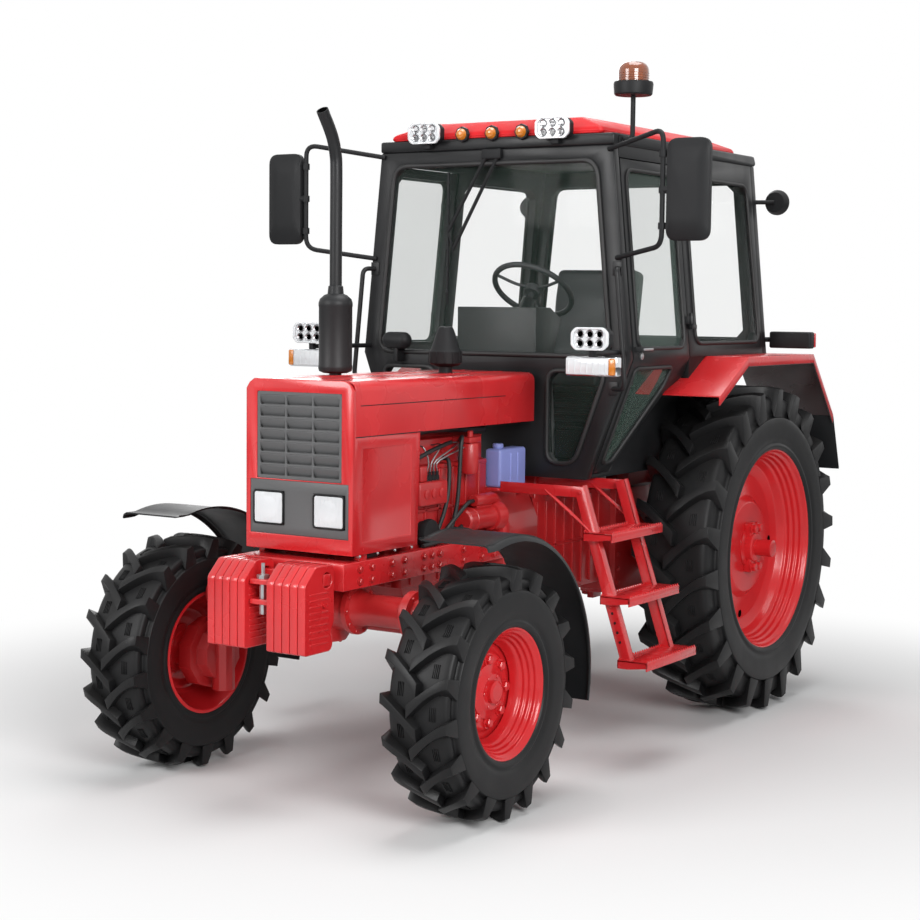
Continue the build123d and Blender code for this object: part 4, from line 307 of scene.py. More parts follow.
def add_skin(bm, rings):
    """Adds a closed skin through rings of corners, capped at both ends."""
    count = len(rings[0])
    faces = [list(range(count))]
    for k in range(len(rings) - 1):
        for i in range(count):
            j = (i + 1) % count
            faces.append((k * count + i, k * count + j, (k + 1) * count + j, (k + 1) * count + i))
    last = (len(rings) - 1) * count
    faces.append(list(range(last, last + count)))
    add_faces(bm, [corner for line in rings for corner in line], faces)


def add_tube(bm, points, radius, sides=12):
    """Adds a round bar along a line of points."""
    line = [Vector(p) for p in points]
    ways = [(b - a).normalized() for a, b in zip(line, line[1:])]
    ways = [ways[0]] + [(a + b).normalized() for a, b in zip(ways, ways[1:])] + [ways[-1]]
    across = ways[0].orthogonal().normalized()
    rings = []
    for i, (point, way) in enumerate(zip(line, ways)):
        if i:
            across = ways[i - 1].rotation_difference(way) @ across
        other = way.cross(across)
        rings.append([point + across * a + other * b for a, b in ring(sides, radius)])
    add_skin(bm, rings)


def add_plate(bm, outlines, thick, place=Matrix(), ease=0.003):
    """Adds a flat plate with eased edges from an outline and the outlines of its holes."""
    curve = bpy.data.curves.new("outline", "CURVE")
    curve.dimensions = "2D"
    curve.fill_mode = "BOTH"
    curve.extrude = thick / 2 - ease
    curve.bevel_depth = ease
    curve.bevel_resolution = 2
    curve.offset = -ease
    for outline in outlines:
        spline = curve.splines.new("POLY")
        spline.points.add(len(outline) - 1)
        for point, corner in zip(spline.points, outline):
            point.co = (corner[0], corner[1], 0, 1)
        spline.use_cyclic_u = True
    holder = bpy.data.objects.new("outline", curve)
    mesh = bpy.data.meshes.new_from_object(holder)
    bpy.data.objects.remove(holder)
    bpy.data.curves.remove(curve)
    add_mesh(bm, mesh, place)


def add_box(bm, low, high, ease=0.004, place=Matrix(), steps=3):
    """Adds a box with rounded edges."""
    box = bmesh.new()
    bmesh.ops.create_cube(box, size=1)
    low, high = Vector(low), Vector(high)
    for vert in box.verts:
        vert.co = Vector(low[i] + (high[i] - low[i]) * (vert.co[i] + 0.5) for i in range(3))
    bmesh.ops.bevel(box, geom=box.edges[:], offset=ease, segments=steps, profile=0.5, affect="EDGES")
    mesh = bpy.data.meshes.new("box")
    box.to_mesh(mesh)
    box.free()
    add_mesh(bm, mesh, place)


def add_bolts(bm, places, way, size):
    """Adds hexagon bolt heads with washers at points, facing one way."""
    turn = Vector((1, 0, 0)).rotation_difference(Vector(way)).to_matrix().to_4x4()
    for point in places:
        place = Matrix.Translation(Vector(point)) @ turn
        add_turned(bm, [(0, 1.35 * size), (0.25 * size, 1.35 * size), (0.25 * size, size)], place, 16)
        add_turned(bm, [(0, size), (0.9 * size, size), (1.1 * size, 0.8 * size)], place, 6)


def add_eased(bm, node, ease, steps=2):
    """Adds a solid of the frame with its sharp edges rounded."""
    work = bmesh.new()
    work.from_mesh(frame["nodes"][node].data)
    bmesh.ops.remove_doubles(work, verts=work.verts, dist=1e-5)
    bmesh.ops.dissolve_limit(work, angle_limit=radians(1), verts=work.verts, edges=work.edges)
    sharp = [e for e in work.edges if len(e.link_faces) == 2 and e.calc_face_angle(0) > radians(28)]
    bmesh.ops.bevel(
        work, geom=sharp, offset=ease, segments=steps, profile=0.5, affect="EDGES", clamp_overlap=True
    )
    mesh = bpy.data.meshes.new(node)
    work.to_mesh(mesh)
    work.free()
    add_mesh(bm, mesh)


def piece(name, bm, body, finish, nodes=(), smooth=32.0):
    """Ends a mesh as a named piece with its finish, riding on a body and standing for nodes."""
    bmesh.ops.recalc_face_normals(bm, faces=bm.faces)
    mesh = bpy.data.meshes.new(name)
    bm.to_mesh(mesh)
    bm.free()
    mesh.shade_smooth()
    mesh.set_sharp_from_angle(angle=radians(smooth))
    mesh.materials.append(bpy.data.materials[finish])
    obj = bpy.data.objects.new(name, mesh)
    bpy.context.scene.collection.objects.link(obj)
    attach(obj, body)
    if nodes:
        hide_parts(*nodes)
    return obj


def eased_piece(node, body, finish, ease):
    """The node's own form with rounded edges, in its finish."""
    bm = bmesh.new()
    add_eased(bm, node, ease)
    piece(f"{node}_shell", bm, body, finish, [node])


# Finishes


# Sockets of a mix node that blends colours
MIX_FIRST, MIX_SECOND, MIX_RESULT = 6, 7, 2
# The slot of the record that each finish belongs to
# Solids with a finish of their own, and the finish of every other solid by its slot
OWN_FINISH = {"door_glass_left": "door_window", "door_glass_right": "door_window"}
NODE_FINISH = {
    "red_paint": "red_enamel",
    "black_paint": "black_enamel",
    "tyre_rubber": "tyre",
    "tinted_glass": "window",
    "grey_plastic": "moulded_grey",
    "lamp_glass": "lamp_lens",
    "amber_lens": "amber_glass",
    "tank_plastic": "cloudy_tank",
    "seat_vinyl": "seat_cover",
    "black_plastic": "moulded_black",
    "bare_steel": "zinc",
}


def new_group(name, inputs, outputs):
    """An empty shader node group with named sockets, and its two end nodes."""
    tree = bpy.data.node_groups.new(name, "ShaderNodeTree")
    for label, kind, value in inputs:
        socket = tree.interface.new_socket(label, in_out="INPUT", socket_type=kind)
        socket.default_value = value
    for label, kind in outputs:
        tree.interface.new_socket(label, in_out="OUTPUT", socket_type=kind)
    return tree, tree.nodes.new("NodeGroupInput"), tree.nodes.new("NodeGroupOutput")


def add_noise(tree, scale, detail, vector):
    """A noise texture in a node tree; the scale is a number or a socket."""
    noise = tree.nodes.new("ShaderNodeTexNoise")
    noise.inputs["Detail"].default_value = detail
    tree.links.new(vector, noise.inputs["Vector"])
    if isinstance(scale, float):
        noise.inputs["Scale"].default_value = scale
    else:
        tree.links.new(scale, noise.inputs["Scale"])
    return noise.outputs["Fac"]


def add_range(tree, value, source, low, high):
    """Maps a value from a source range to low and high, each a number or a socket."""
    node = tree.nodes.new("ShaderNodeMapRange")
    node.interpolation_type = "SMOOTHSTEP"
    tree.links.new(value, node.inputs["Value"])
    node.inputs["From Min"].default_value, node.inputs["From Max"].default_value = source
    for label, end in (("To Min", low), ("To Max", high)):
        if isinstance(end, float):
            node.inputs[label].default_value = end
        else:
            tree.links.new(end, node.inputs[label])
    return node.outputs["Result"]


def add_upward(tree):
    """How far a face looks up, from -1 to 1."""
    facing = tree.nodes.new("ShaderNodeSeparateXYZ")
    tree.links.new(tree.nodes.new("ShaderNodeNewGeometry").outputs["Normal"], facing.inputs[0])
    return facing.outputs["Z"]


def add_math(tree, operation, first, second):
    """Joins two values by an operation."""
    node = tree.nodes.new("ShaderNodeMath")
    node.operation = operation
    tree.links.new(first, node.inputs[0])
    tree.links.new(second, node.inputs[1])
    return node.outputs[0]


def add_mix(tree, factor, first, second):
    """Blends two colours."""
    node = tree.nodes.new("ShaderNodeMix")
    node.data_type = "RGBA"
    for value, socket in ((factor, "Factor"), (first, MIX_FIRST), (second, MIX_SECOND)):
        tree.links.new(value, node.inputs[socket])
    return node.outputs[MIX_RESULT]


def add_either(tree, factor, first, second, end):
    """Ends a tree in a blend of two shaders."""
    mix = tree.nodes.new("ShaderNodeMixShader")
    tree.links.new(factor, mix.inputs["Fac"])
    tree.links.new(first.outputs[0], mix.inputs[1])
    tree.links.new(second.outputs[0], mix.inputs[2])
    tree.links.new(mix.outputs[0], end.inputs["Surface"])


def add_group(tree, name, values):
    """Adds a shared group to a tree and sets its inputs."""
    node = tree.nodes.new("ShaderNodeGroup")
    node.node_tree = bpy.data.node_groups[name]
    for label, value in values.items():
        node.inputs[label].default_value = value
    return node


def surface_grain():
    """Group: fine grain height, roughness that wanders between two values, and a slow change of shade."""
    sockets = [
        ("Scale", "NodeSocketFloat", 300.0),
        ("Rough Low", "NodeSocketFloat", 0.3),
        ("Rough High", "NodeSocketFloat", 0.4),
    ]
    outs = [("Height", "NodeSocketFloat"), ("Roughness", "NodeSocketFloat"), ("Shade", "NodeSocketFloat")]
    tree, start, end = new_group("Surface_Grain", sockets, outs)
    place = tree.nodes.new("ShaderNodeTexCoord").outputs["Object"]
    fine = add_noise(tree, start.outputs["Scale"], 5.0, place)
    broad = add_noise(tree, 4.0, 3.0, place)
    tree.links.new(fine, end.inputs["Height"])
    rough = add_range(tree, broad, (0.3, 0.7), start.outputs["Rough Low"], start.outputs["Rough High"])
    tree.links.new(rough, end.inputs["Roughness"])
    tree.links.new(add_range(tree, broad, (0.25, 0.75), 0.90, 1.06), end.inputs["Shade"])


def dust_film():
    """Group: a colour with dust laid on its upward faces in patches."""
    sockets = [
        ("Colour", "NodeSocketColor", (1, 1, 1, 1)),
        ("Dust", "NodeSocketColor", (1, 1, 1, 1)),
        ("Amount", "NodeSocketFloat", 0.1),
    ]
    tree, start, end = new_group("Dust_Film", sockets, [("Colour", "NodeSocketColor")])
    place = tree.nodes.new("ShaderNodeTexCoord").outputs["Object"]
    upward = add_range(tree, add_upward(tree), (0.0, 1.0), 0.25, 1.0)
    patch = add_range(tree, add_noise(tree, 9.0, 6.0, place), (0.35, 0.7), 0.0, start.outputs["Amount"])
    mask = add_math(tree, "MULTIPLY", upward, patch)
    shown = add_mix(tree, mask, start.outputs["Colour"], start.outputs["Dust"])
    tree.links.new(shown, end.inputs["Colour"])


def painted_underside_shade():
    """Group: painted shade, a colour that turns dark on faces that look down, where the underside falls in
    shadow.
    """
    sockets = [("Colour", "NodeSocketColor", (1, 1, 1, 1)), ("Shadow_Colour", "NodeSocketColor", (0, 0, 0, 1))]
    tree, start, end = new_group("Painted_Underside_Shade", sockets, [("Colour", "NodeSocketColor")])
    down = add_range(tree, add_upward(tree), (-0.30, -0.10), 1.0, 0.0)
    shown = add_mix(tree, down, start.outputs["Colour"], start.outputs["Shadow_Colour"])
    tree.links.new(shown, end.inputs["Colour"])


def make_finish(name, colour, rough, grain, bump, dust=None, underside_shade=None, **plain):
    """A material: random shade, dust and painted shade on downward faces over the colour, wandering roughness
    and a fine grain.
    """
    material = bpy.data.materials.new(name)
    material.use_nodes = True
    tree = material.node_tree
    shader = tree.nodes["Principled BSDF"]
    values = {"Scale": grain, "Rough Low": rough[0], "Rough High": rough[1]}
    surface = add_group(tree, "Surface_Grain", values)
    tint = tree.nodes.new("ShaderNodeMix")
    tint.data_type = "RGBA"
    tint.blend_type = "MULTIPLY"
    tint.inputs["Factor"].default_value = 1.0
    tint.inputs[MIX_FIRST].default_value = (*colour, 1)
    tree.links.new(surface.outputs["Shade"], tint.inputs[MIX_SECOND])
    shown = tint.outputs[MIX_RESULT]
    films = []
    if dust:
        films.append(add_group(tree, "Dust_Film", {"Amount": dust[0], "Dust": (*dust[1], 1)}))
    # Painted shade: faces that look down turn to the given dark colour.
    if underside_shade:
        films.append(add_group(tree, "Painted_Underside_Shade", {"Shadow_Colour": (*underside_shade, 1)}))
    for film in films:
        tree.links.new(shown, film.inputs["Colour"])
        shown = film.outputs["Colour"]
    tree.links.new(shown, shader.inputs["Base Color"])
    tree.links.new(surface.outputs["Roughness"], shader.inputs["Roughness"])
    relief = tree.nodes.new("ShaderNodeBump")
    relief.inputs["Strength"].default_value = bump
    relief.inputs["Distance"].default_value = 0.001
    tree.links.new(surface.outputs["Height"], relief.inputs["Height"])
    tree.links.new(relief.outputs["Normal"], shader.inputs["Normal"])
    for label, value in plain.items():
        shader.inputs[label.replace("_", " ")].default_value = value


class TRACTOR_OT_finishes(bpy.types.Operator):
    """Makes every finish and puts one on each solid of the frame"""

    bl_idname = "tractor.finishes"
    bl_label = "Finishes"

    def execute(self, context):
        c = context.scene.tractor_colours
        dust = tuple(c.dust)
        surface_grain()
        dust_film()
        painted_underside_shade()
        make_finish(
            "red_enamel", c.red, (0.20, 0.32), 220.0, 0.05, (0.01, dust), Coat_Weight=0.35,
            Coat_Roughness=0.12
        )
        # Red paint of the rear fenders with painted shade: a dark red on the faces that look down, for the
        # shadow under them.
        make_finish(
            "fender_enamel_shaded_below", c.red, (0.20, 0.32), 220.0, 0.05, (0.01, dust), (0.040, 0.012, 0.012),
            Coat_Weight=0.15, Coat_Roughness=0.12
        )
        make_finish(
            "rim_enamel", c.red, (0.16, 0.26), 220.0, 0.04, Specular_IOR_Level=0.32, Coat_Weight=0.1,
            Coat_Roughness=0.1
        )
        make_finish("red_casting", c.cast, (0.30, 0.46), 420.0, 0.45, (0.03, dust), Coat_Weight=0.2)
        make_finish(
            "black_enamel", c.black, (0.34, 0.48), 380.0, 0.12, (0.01, dust), Specular_IOR_Level=0.28
        )
        make_finish("tyre", c.rubber, (0.36, 0.52), 160.0, 0.30, (0.01, dust), Specular_IOR_Level=0.22)
        make_finish("gasket", c.rubber, (0.5, 0.6), 500.0, 0.15)
        # Flat black without reflection: painted shade for the dark inside of holes and of the exhaust's open
        # end.
        make_finish("painted_hole_shade", (0.002, 0.002, 0.002), (0.9, 1.0), 500.0, 0.3, Specular_IOR_Level=0.0)
        make_finish("window", c.glass, (0.02, 0.05), 6.0, 0.01, Alpha=0.04)
        make_finish("door_window", c.glass, (0.02, 0.05), 6.0, 0.01, Alpha=0.18)
        make_finish("roof_enamel", c.red, (0.34, 0.46), 220.0, 0.05, Specular_IOR_Level=0.12)
        make_finish("moulded_grey", c.grey, (0.42, 0.55), 700.0, 0.22, (0.03, dust))
        make_finish("lamp_lens", c.lens, (0.08, 0.16), 90.0, 0.6, Transmission_Weight=0.25, Coat_Weight=0.8)
        make_finish(
            "amber_glass", c.amber, (0.10, 0.18), 110.0, 0.5, Coat_Weight=0.8, Transmission_Weight=0.2
        )
        make_finish(
            "beacon_lens", c.beacon, (0.06, 0.12), 60.0, 0.2, Coat_Weight=0.8, Transmission_Weight=0.3
        )
        make_finish("cloudy_tank", c.tank, (0.34, 0.44), 30.0, 0.1)
        make_finish("seat_cover", c.vinyl, (0.45, 0.6), 520.0, 0.5)
        make_finish("moulded_black", c.black, (0.46, 0.58), 640.0, 0.2, Specular_IOR_Level=0.20)
        make_finish("zinc", c.steel, (0.28, 0.42), 260.0, 0.2, Metallic=1.0)
        make_finish("mirror", (0.75, 0.77, 0.79), (0.03, 0.06), 12.0, 0.02, Metallic=1.0)
        for part in frame["record"]["subparts"]:
            mesh = frame["nodes"][part["node"]].data
            mesh.materials.clear()
            finish = OWN_FINISH.get(part["node"], NODE_FINISH[part["material_slot"]])
            mesh.materials.append(bpy.data.materials[finish])
        return {"FINISHED"}


# Wheels


def lug_mesh(radius, half, height, wall_top, bar, spread):
    """One lug of a tyre's left row: a curved bar from mid-tread, with a wide foot over the shoulder."""
    stations, shoulder, sink, slope, ease = 10, 0.66, 0.014, 0.006, 0.003
    nose, end, slant = -0.020, half - 0.004, 0.82 * half
    rings = []
    for k in range(stations):
        s = k / (stations - 1)
        x = nose + s * (end - nose)
        lean = -slant * (1 - (1 - s) ** 1.35)
        over = max(0.0, (x / half - shoulder) / (1 - shoulder))
        top = radius - 0.006 * (x / half) ** 2 - 0.010 * over**2
        base = (radius - height - sink) * (1 - over**1.5) + (wall_top - slope) * over**1.5
        wide = bar / 2 * (1.25 - 0.35 * min(1, 2 * s) + 0.10 * max(0, 2 * s - 1))
        foot = wide + slope
        section = []
        for reach, r in ((-foot, base), (-wide, top), (wide, top), (foot + spread * over, base)):
            a = (lean + reach) / radius
            section.append((x, r * cos(a), r * sin(a)))
        rings.append(section)
    bm = bmesh.new()
    add_skin(bm, rings)
    bmesh.ops.recalc_face_normals(bm, faces=bm.faces)
    sharp = [e for e in bm.edges if e.calc_face_angle(0) > radians(40)]
    bmesh.ops.bevel(bm, geom=sharp, offset=ease, segments=2, profile=0.6, affect="EDGES")
    mesh = bpy.data.meshes.new("lug")
    bm.to_mesh(mesh)
    bm.free()
    return mesh


def add_sipes(bm, place, radius, half, pitch):
    """Adds the row of fine ribs between two lugs of a tyre's left row."""
    thin, long = 0.0015, 0.026
    turn = place @ Matrix.Rotation(pitch / 2 - 0.50 * half / radius, 4, "X")
    for k in range(4):
        x = (0.40 + 0.05 * k) * half
        add_box(bm, (x - thin, radius - 0.008, -long), (x + thin, radius + 0.001, long), 0.0006, turn, 1)


def make_tyre(name, node, body, bead, lugs, height):
    """A tyre with smooth side walls and two staggered rows of lugs."""
    low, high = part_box(node)
    radius, half = (high.z - low.z) / 2, (high.x - low.x) / 2
    place = Matrix.Translation(middle(node))
    tread, wall_top = radius - height, 0.81 * radius
    wall, pitch = wall_top - bead, 2 * pi / lugs
    bar, spread = 0.050 * (radius / 0.79) ** 0.5, 0.28 * pitch * radius
    side = [
        (half - 0.030, bead - 0.004),
        (half - 0.015, bead + 0.004),
        (half - 0.009, bead + 0.020),
        (half - 0.014, bead + 0.034),
        (half - 0.006, bead + 0.40 * wall),
        (half - 0.002, bead + 0.75 * wall),
        (half - 0.003, wall_top - 0.008),
        (half - 0.007, wall_top),
        (half - 0.024, wall_top + 0.008),
        (0.87 * half, wall_top + 0.5 * (tread - wall_top)),
        (0.80 * half, tread - 0.012),
        (0.50 * half, tread - 0.003),
        (0.0, tread),
    ]
    half_line = [(p.x, p.y) for p in smooth_line([(x, r, 0) for x, r in side])]
    profile = half_line + [(-x, r) for x, r in reversed(half_line[:-1])]
    bm = bmesh.new()
    add_turned(bm, profile, place, 96, closed=True)
    lug = lug_mesh(radius, half, height, wall_top, bar, spread)
    for k in range(lugs):
        left = place @ Matrix.Rotation(k * pitch, 4, "X")
        right = place @ Matrix.Rotation((k + 0.5) * pitch, 4, "X") @ MIRROR
        for row in (left, right):
            add_mesh(bm, lug.copy(), row)
            add_sipes(bm, row, tread, half, pitch)
    bpy.data.meshes.remove(lug)
    piece(name, bm, body, "tyre", [node], 40)


def rim_outline(out, bead, disc, step, step_r):
    """Outline, as x and radius, of a rim: raised centre, disc, stepped barrel, flanges and its back."""
    wall, steps, rise, dip = 0.008, 4, 0.011, (disc - 0.010, 0.62 * bead + 0.06)
    face = [(disc + step, 0.05), (disc + step, step_r - step), (disc + 0.002, step_r), dip]
    face.append((disc + 0.004, bead - 0.070))
    for k in range(steps):
        x, r = (0.36 + 0.14 * k) * out, bead - 0.056 + rise * k
        face += [(x, r), (x + 0.008, r + rise)]
    flange = [(out - 0.012, bead - 0.004), (out - 0.006, bead + 0.016), (out, bead + 0.012)]
    flange += [(out - 0.012, bead - 0.001), (0.012 - out, bead - 0.001)]
    back = [(-out, bead + 0.018), (0.008 - out, bead + 0.020), (-out, bead - 0.008)]
    inner = [(0.014 - out, bead - 0.014), (-0.6 * out, bead - 0.034), (disc - 0.03, bead - 0.064)]
    inner += [(disc - wall, bead - 0.086), (dip[0] - wall, dip[1]), (disc - wall, step_r)]
    inner += [(disc + step - wall, step_r - step - 0.01), (disc + step - wall, 0.05)]
    return face + flange + back + inner


def make_rim(name, node, tyre_node, body, side, rear, bead):
    """A dished rim with rolled flanges, stepped barrel, raised centre, hub and nuts."""
    low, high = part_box(tyre_node)
    out = (high.x - low.x) / 2 - 0.010
    place = Matrix.Translation(middle(tyre_node)) @ hand(side)
    disc, step_r, step = (0.026, 0.250, 0.030) if rear else (0.010, 0.160, 0.016)
    hub_r, hub_out = (0.080, 0.104) if rear else (0.084, 0.052)
    inside, way, plate = -0.10, (side, 0, 0), disc + step
    bm = bmesh.new()
    outline = rounded([(x, r, 0) for x, r in rim_outline(out, bead, disc, step, step_r)], 0.006, steps=3)
    add_turned(bm, [(p.x, p.y) for p in outline], place, 80, closed=True)
    hub = [(inside, hub_r - 0.006), (plate - 0.024, hub_r - 0.006), (plate - 0.024, hub_r + 0.022)]
    hub += [(plate + 0.008, hub_r + 0.022), (plate + 0.014, hub_r), (hub_out - 0.006, hub_r - 0.008)]
    hub += [(hub_out, hub_r - 0.016), (hub_out, hub_r - 0.040)]
    add_turned(bm, hub, place, 40)
    if rear:
        shaft = [(hub_out - 0.01, 0.041), (out + 0.001, 0.041), (out + 0.003, 0.036), (out + 0.003, 0.012)]
        add_turned(bm, shaft, place, 28)
        for end in (-1, 1):
            z0, z1 = span(end, 0.050, 0.122)
            add_box(bm, (plate - 0.004, -0.052, z0), (hub_out - 0.012, 0.052, z1), 0.010, place, 2)
            spots = [place @ Vector((hub_out - 0.014, y, end * 0.094)) for y in (-0.028, 0.028)]
            add_bolts(bm, spots, way, 0.022)
    else:
        rim_x, cap_x = hub_out - 0.004, hub_out + 0.022
        add_turned(bm, [(rim_x, 0.046), (cap_x - 0.006, 0.044), (cap_x, 0.034), (cap_x, 0.01)], place, 28)
        add_bolts(bm, [place @ Vector((rim_x, y, z)) for y, z in ring(6, 0.062)], way, 0.007)
        add_bolts(bm, [place @ Vector((plate, y, z)) for y, z in ring(8, 0.122)], way, 0.019)
    piece(name, bm, body, "rim_enamel", [node], 30)
    if rear:
        # Four dark discs on each rear disc are painted shade in place of open slots.
        slot_shades, slot_r = bmesh.new(), 0.016
        for y, z in ring(4, 0.335):
            spot = place @ at(0, y, z) @ Matrix.Diagonal((1, 1.1, 1.2, 1))
            add_turned(slot_shades, [(disc - 0.014, slot_r), (disc - 0.0055, slot_r)], spot, 18)
        piece(f"{node}_slots", slot_shades, body, "painted_hole_shade", [], 30)


class TRACTOR_OT_wheels(bpy.types.Operator):
    """Makes the four lugged tyres and their rims"""

    bl_idname = "tractor.wheels"
    bl_label = "Wheels"

    def execute(self, context):
        size = context.scene.tractor_sizes
        for side, sign in SIDES:
            for axle, bead, lugs, height in (
                ("front", size.front_bead, size.front_lugs, size.front_lug),
                ("rear", size.rear_bead, size.rear_lugs, size.rear_lug),
            ):
                body, tyre = f"{axle}_{side}_wheel", f"{axle}_tyre_{side}"
                make_tyre(f"{tyre}_lugged", tyre, body, bead, lugs, height)
                rim = f"{axle}_rim_{side}"
                make_rim(f"{rim}_dished", rim, tyre, body, sign, axle == "rear", bead)
        return {"FINISHED"}


# Plain forms that keep the shape of their solids


EASED_NODES = {
    "chassis": {
        "red_casting": {"engine_block": 0.012, "transmission": 0.012, "rear_axle": 0.006},
        "red_enamel": {"front_frame": 0.004, "drawbar": 0.006, "nose_panel": 0.003, "ladders": 0.0015},
        "black_enamel": {"cab_front": 0.006, "cab_rear": 0.006, "cab_sides": 0.003, "cab_top": 0.010,
                         "cab_tub": 0.004, "dash": 0.010, "rear_flaps": 0.003, "radiator": 0.006},
        "moulded_grey": {"lamp_panel": 0.003},
        # The rear fenders wear the red paint with painted shade on their downward faces.
        "fender_enamel_shaded_below": {"rear_fenders": 0.003},
    },
    "left_knuckle": {"red_casting": {"knuckle_left": 0.004}},
    "right_knuckle": {"red_casting": {"knuckle_right": 0.004}},
    "left_door": {"black_enamel": {"door_left": 0.004}},
    "right_door": {"black_enamel": {"door_right": 0.004}},
    "tie_bar": {"red_casting": {"tie_rod": 0.003}},
    "links": {"red_casting": {"lower_links": 0.004}},
    "arms": {"red_casting": {"lift_arms": 0.004}},
    "rods": {"red_casting": {"lift_rods": 0.003}},
}


class TRACTOR_OT_eased_forms(bpy.types.Operator):
    """Rounds the edges of the solids whose own form shows"""

    bl_idname = "tractor.eased_forms"
    bl_label = "Eased Forms"

    def execute(self, context):
        for body, finishes in EASED_NODES.items():
            for finish, nodes in finishes.items():
                for node, ease in nodes.items():
                    eased_piece(node, body, finish, ease)
        return {"FINISHED"}


# Hood, front end, engine, ladders and rear end


class TRACTOR_OT_hood(bpy.types.Operator):
    """Makes hood, grille, exhaust stack and air pre-cleaner"""

    bl_idname = "tractor.hood"
    bl_label = "Hood"

    def execute(self, context):
        self.shell()
        self.grille()
        self.exhaust()
        self.precleaner()
        return {"FINISHED"}

    def shell(self):
        low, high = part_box("hood")
        half, skirt, top = high.x, low.z, high.z
        sheet, bend, rib = 0.006, 0.042, 0.006
        lines = []
        for inset in (0.0, sheet):
            a = half - inset
            corners = [(a, skirt), (a, top - inset), (-a, top - inset), (-a, skirt)]
            lines.append(rounded(corners, bend - inset, closed=False, steps=8))
        bm, seams, bolts = bmesh.new(), bmesh.new(), bmesh.new()
        place = at(0, middle("hood").y, 0) @ ALONG_XZ
        add_plate(bm, [lines[0] + lines[1][::-1]], high.y - low.y, place, 0.002)
        for x in (-0.10, 0.10):
            add_box(bm, (x - rib, low.y + 0.02, top - 0.003), (x + rib, high.y - 0.02, top + 0.002), 0.0015)
        line_z, nose = skirt + 0.55 * (top - skirt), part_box("nose_panel")[0]
        for sign in (1, -1):
            x0, x1 = span(sign, half - 0.002, half + 0.0006)
            add_box(seams, (x0, low.y + 0.03, line_z), (x1, high.y - 0.25, line_z + 0.0035), 0.0004)
            add_box(seams, (x0, low.y, skirt - 0.003), (x1, high.y - 0.9, skirt + 0.001), 0.0004)
            spots = [(sign * half, nose.y + 0.05 + 0.12 * k, nose.z + 0.02) for k in range(4)]
            add_bolts(bolts, spots, (sign, 0, 0), 0.005)
        piece("hood_shell", bm, "chassis", "red_enamel", ["hood"], 40)
        piece("hood_seams", seams, "chassis", "moulded_black")
        piece("nose_screws", bolts, "chassis", "zinc")

    def grille(self):
        low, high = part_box("grille")
        wide, tall = high.x - low.x, high.z - low.z
        rim, bar, columns, rows, lap = 0.014, 0.008, 3, 7, 0.003
        cell_x, cell_z = (wide - 2 * rim + bar) / columns, (tall - 2 * rim + bar) / rows
        outer = [(low.x, low.z), (high.x, low.z), (high.x, high.z), (low.x, high.z)]
        holes, slats = [], bmesh.new()
        for i in range(columns):
            for k in range(rows):
                x, z = low.x + rim + i * cell_x, low.z + rim + k * cell_z
                x1, z1 = x + cell_x - bar, z + cell_z - bar
                holes.append(rounded([(x, z), (x1, z), (x1, z1), (x, z1)], 0.006, steps=3))
                tilt = at((x + x1) / 2, high.y - 0.008, (z + z1) / 2) @ Matrix.Rotation(radians(24), 4, "X")
                slat_low = ((x - x1) / 2 - lap, -0.0025, (z - z1) / 2 - 0.004)
                slat_high = ((x1 - x) / 2 + lap, 0.0025, (z1 - z) / 2 + 0.002)
                add_box(slats, slat_low, slat_high, 0.002, tilt)
        add_plate(slats, [rounded(outer, 0.012)] + holes, 0.010, at(0, low.y + 0.003, 0) @ ALONG_XZ, 0.002)
        edge = 0.004
        back_low = (low.x + edge, high.y - 0.003, low.z + edge)
        add_box(slats, back_low, (high.x - edge, high.y, high.z - edge), 0.001)
        piece("grille_slats", slats, "chassis", "moulded_grey", ["grille"])

    def exhaust(self):
        low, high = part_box("exhaust_stack")
        x, y = (low.x + high.x) / 2, high.y - 0.072
        bm = bmesh.new()
        place = at(x, y, 0) @ UPRIGHT
        add_turned(bm, [(low.z, 0.026), (1.68, 0.026)], place, 24)
        can = [(1.668, 0.030), (1.670, 0.050), (1.678, 0.068), (1.690, 0.0715), (1.700, 0.0715),
               (1.704, 0.0700), (1.945, 0.0700), (1.949, 0.0715), (1.962, 0.0715), (1.978, 0.066),
               (1.994, 0.048), (2.000, 0.034), (2.030, 0.031), (2.034, 0.026)]
        add_turned(bm, can, place, 44)
        tip = Vector((x, low.y + 0.018, high.z - 0.010))
        line = [(x, y, 1.99), (x, y, 2.25), (x, y, 2.50), (x, y - 0.006, 2.575), (x, y - 0.032, 2.650), tip]
        add_tube(bm, smooth_line(line, 5), 0.0258, 24)
        piece("exhaust_pipe", bm, "chassis", "black_enamel", ["exhaust_stack"])
        # A flat black disc just inside the tip is painted shade for the pipe's open end.
        mouth = bmesh.new()
        way = (tip - Vector(line[-2])).normalized()
        add_tube(mouth, [tip - way * 0.002, tip + way * 0.0008], 0.021, 24)
        piece("exhaust_mouth_shade", mouth, "chassis", "painted_hole_shade")

    def precleaner(self):
        low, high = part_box("air_precleaner")
        top, fins = high.z, 12
        place = at(*middle("air_precleaner").xy, 0)
        bm = bmesh.new()
        profile = [(low.z, 0.029), (top - 0.176, 0.030), (top - 0.170, 0.058), (top - 0.160, 0.071),
                   (top - 0.110, 0.072), (top - 0.104, 0.068), (top - 0.098, 0.064), (top - 0.030, 0.042),
                   (top - 0.014, 0.036), (top - 0.003, 0.030), (top, 0.020)]
        add_turned(bm, profile, place @ UPRIGHT, 40)
        for k in range(fins):
            turn = place @ Matrix.Rotation(2 * pi * k / fins, 4, "Z")
            add_box(bm, (0.066, -0.002, top - 0.160), (0.0745, 0.002, top - 0.110), 0.001, turn)
        piece("precleaner_bowl", bm, "chassis", "moulded_black", ["air_precleaner"])


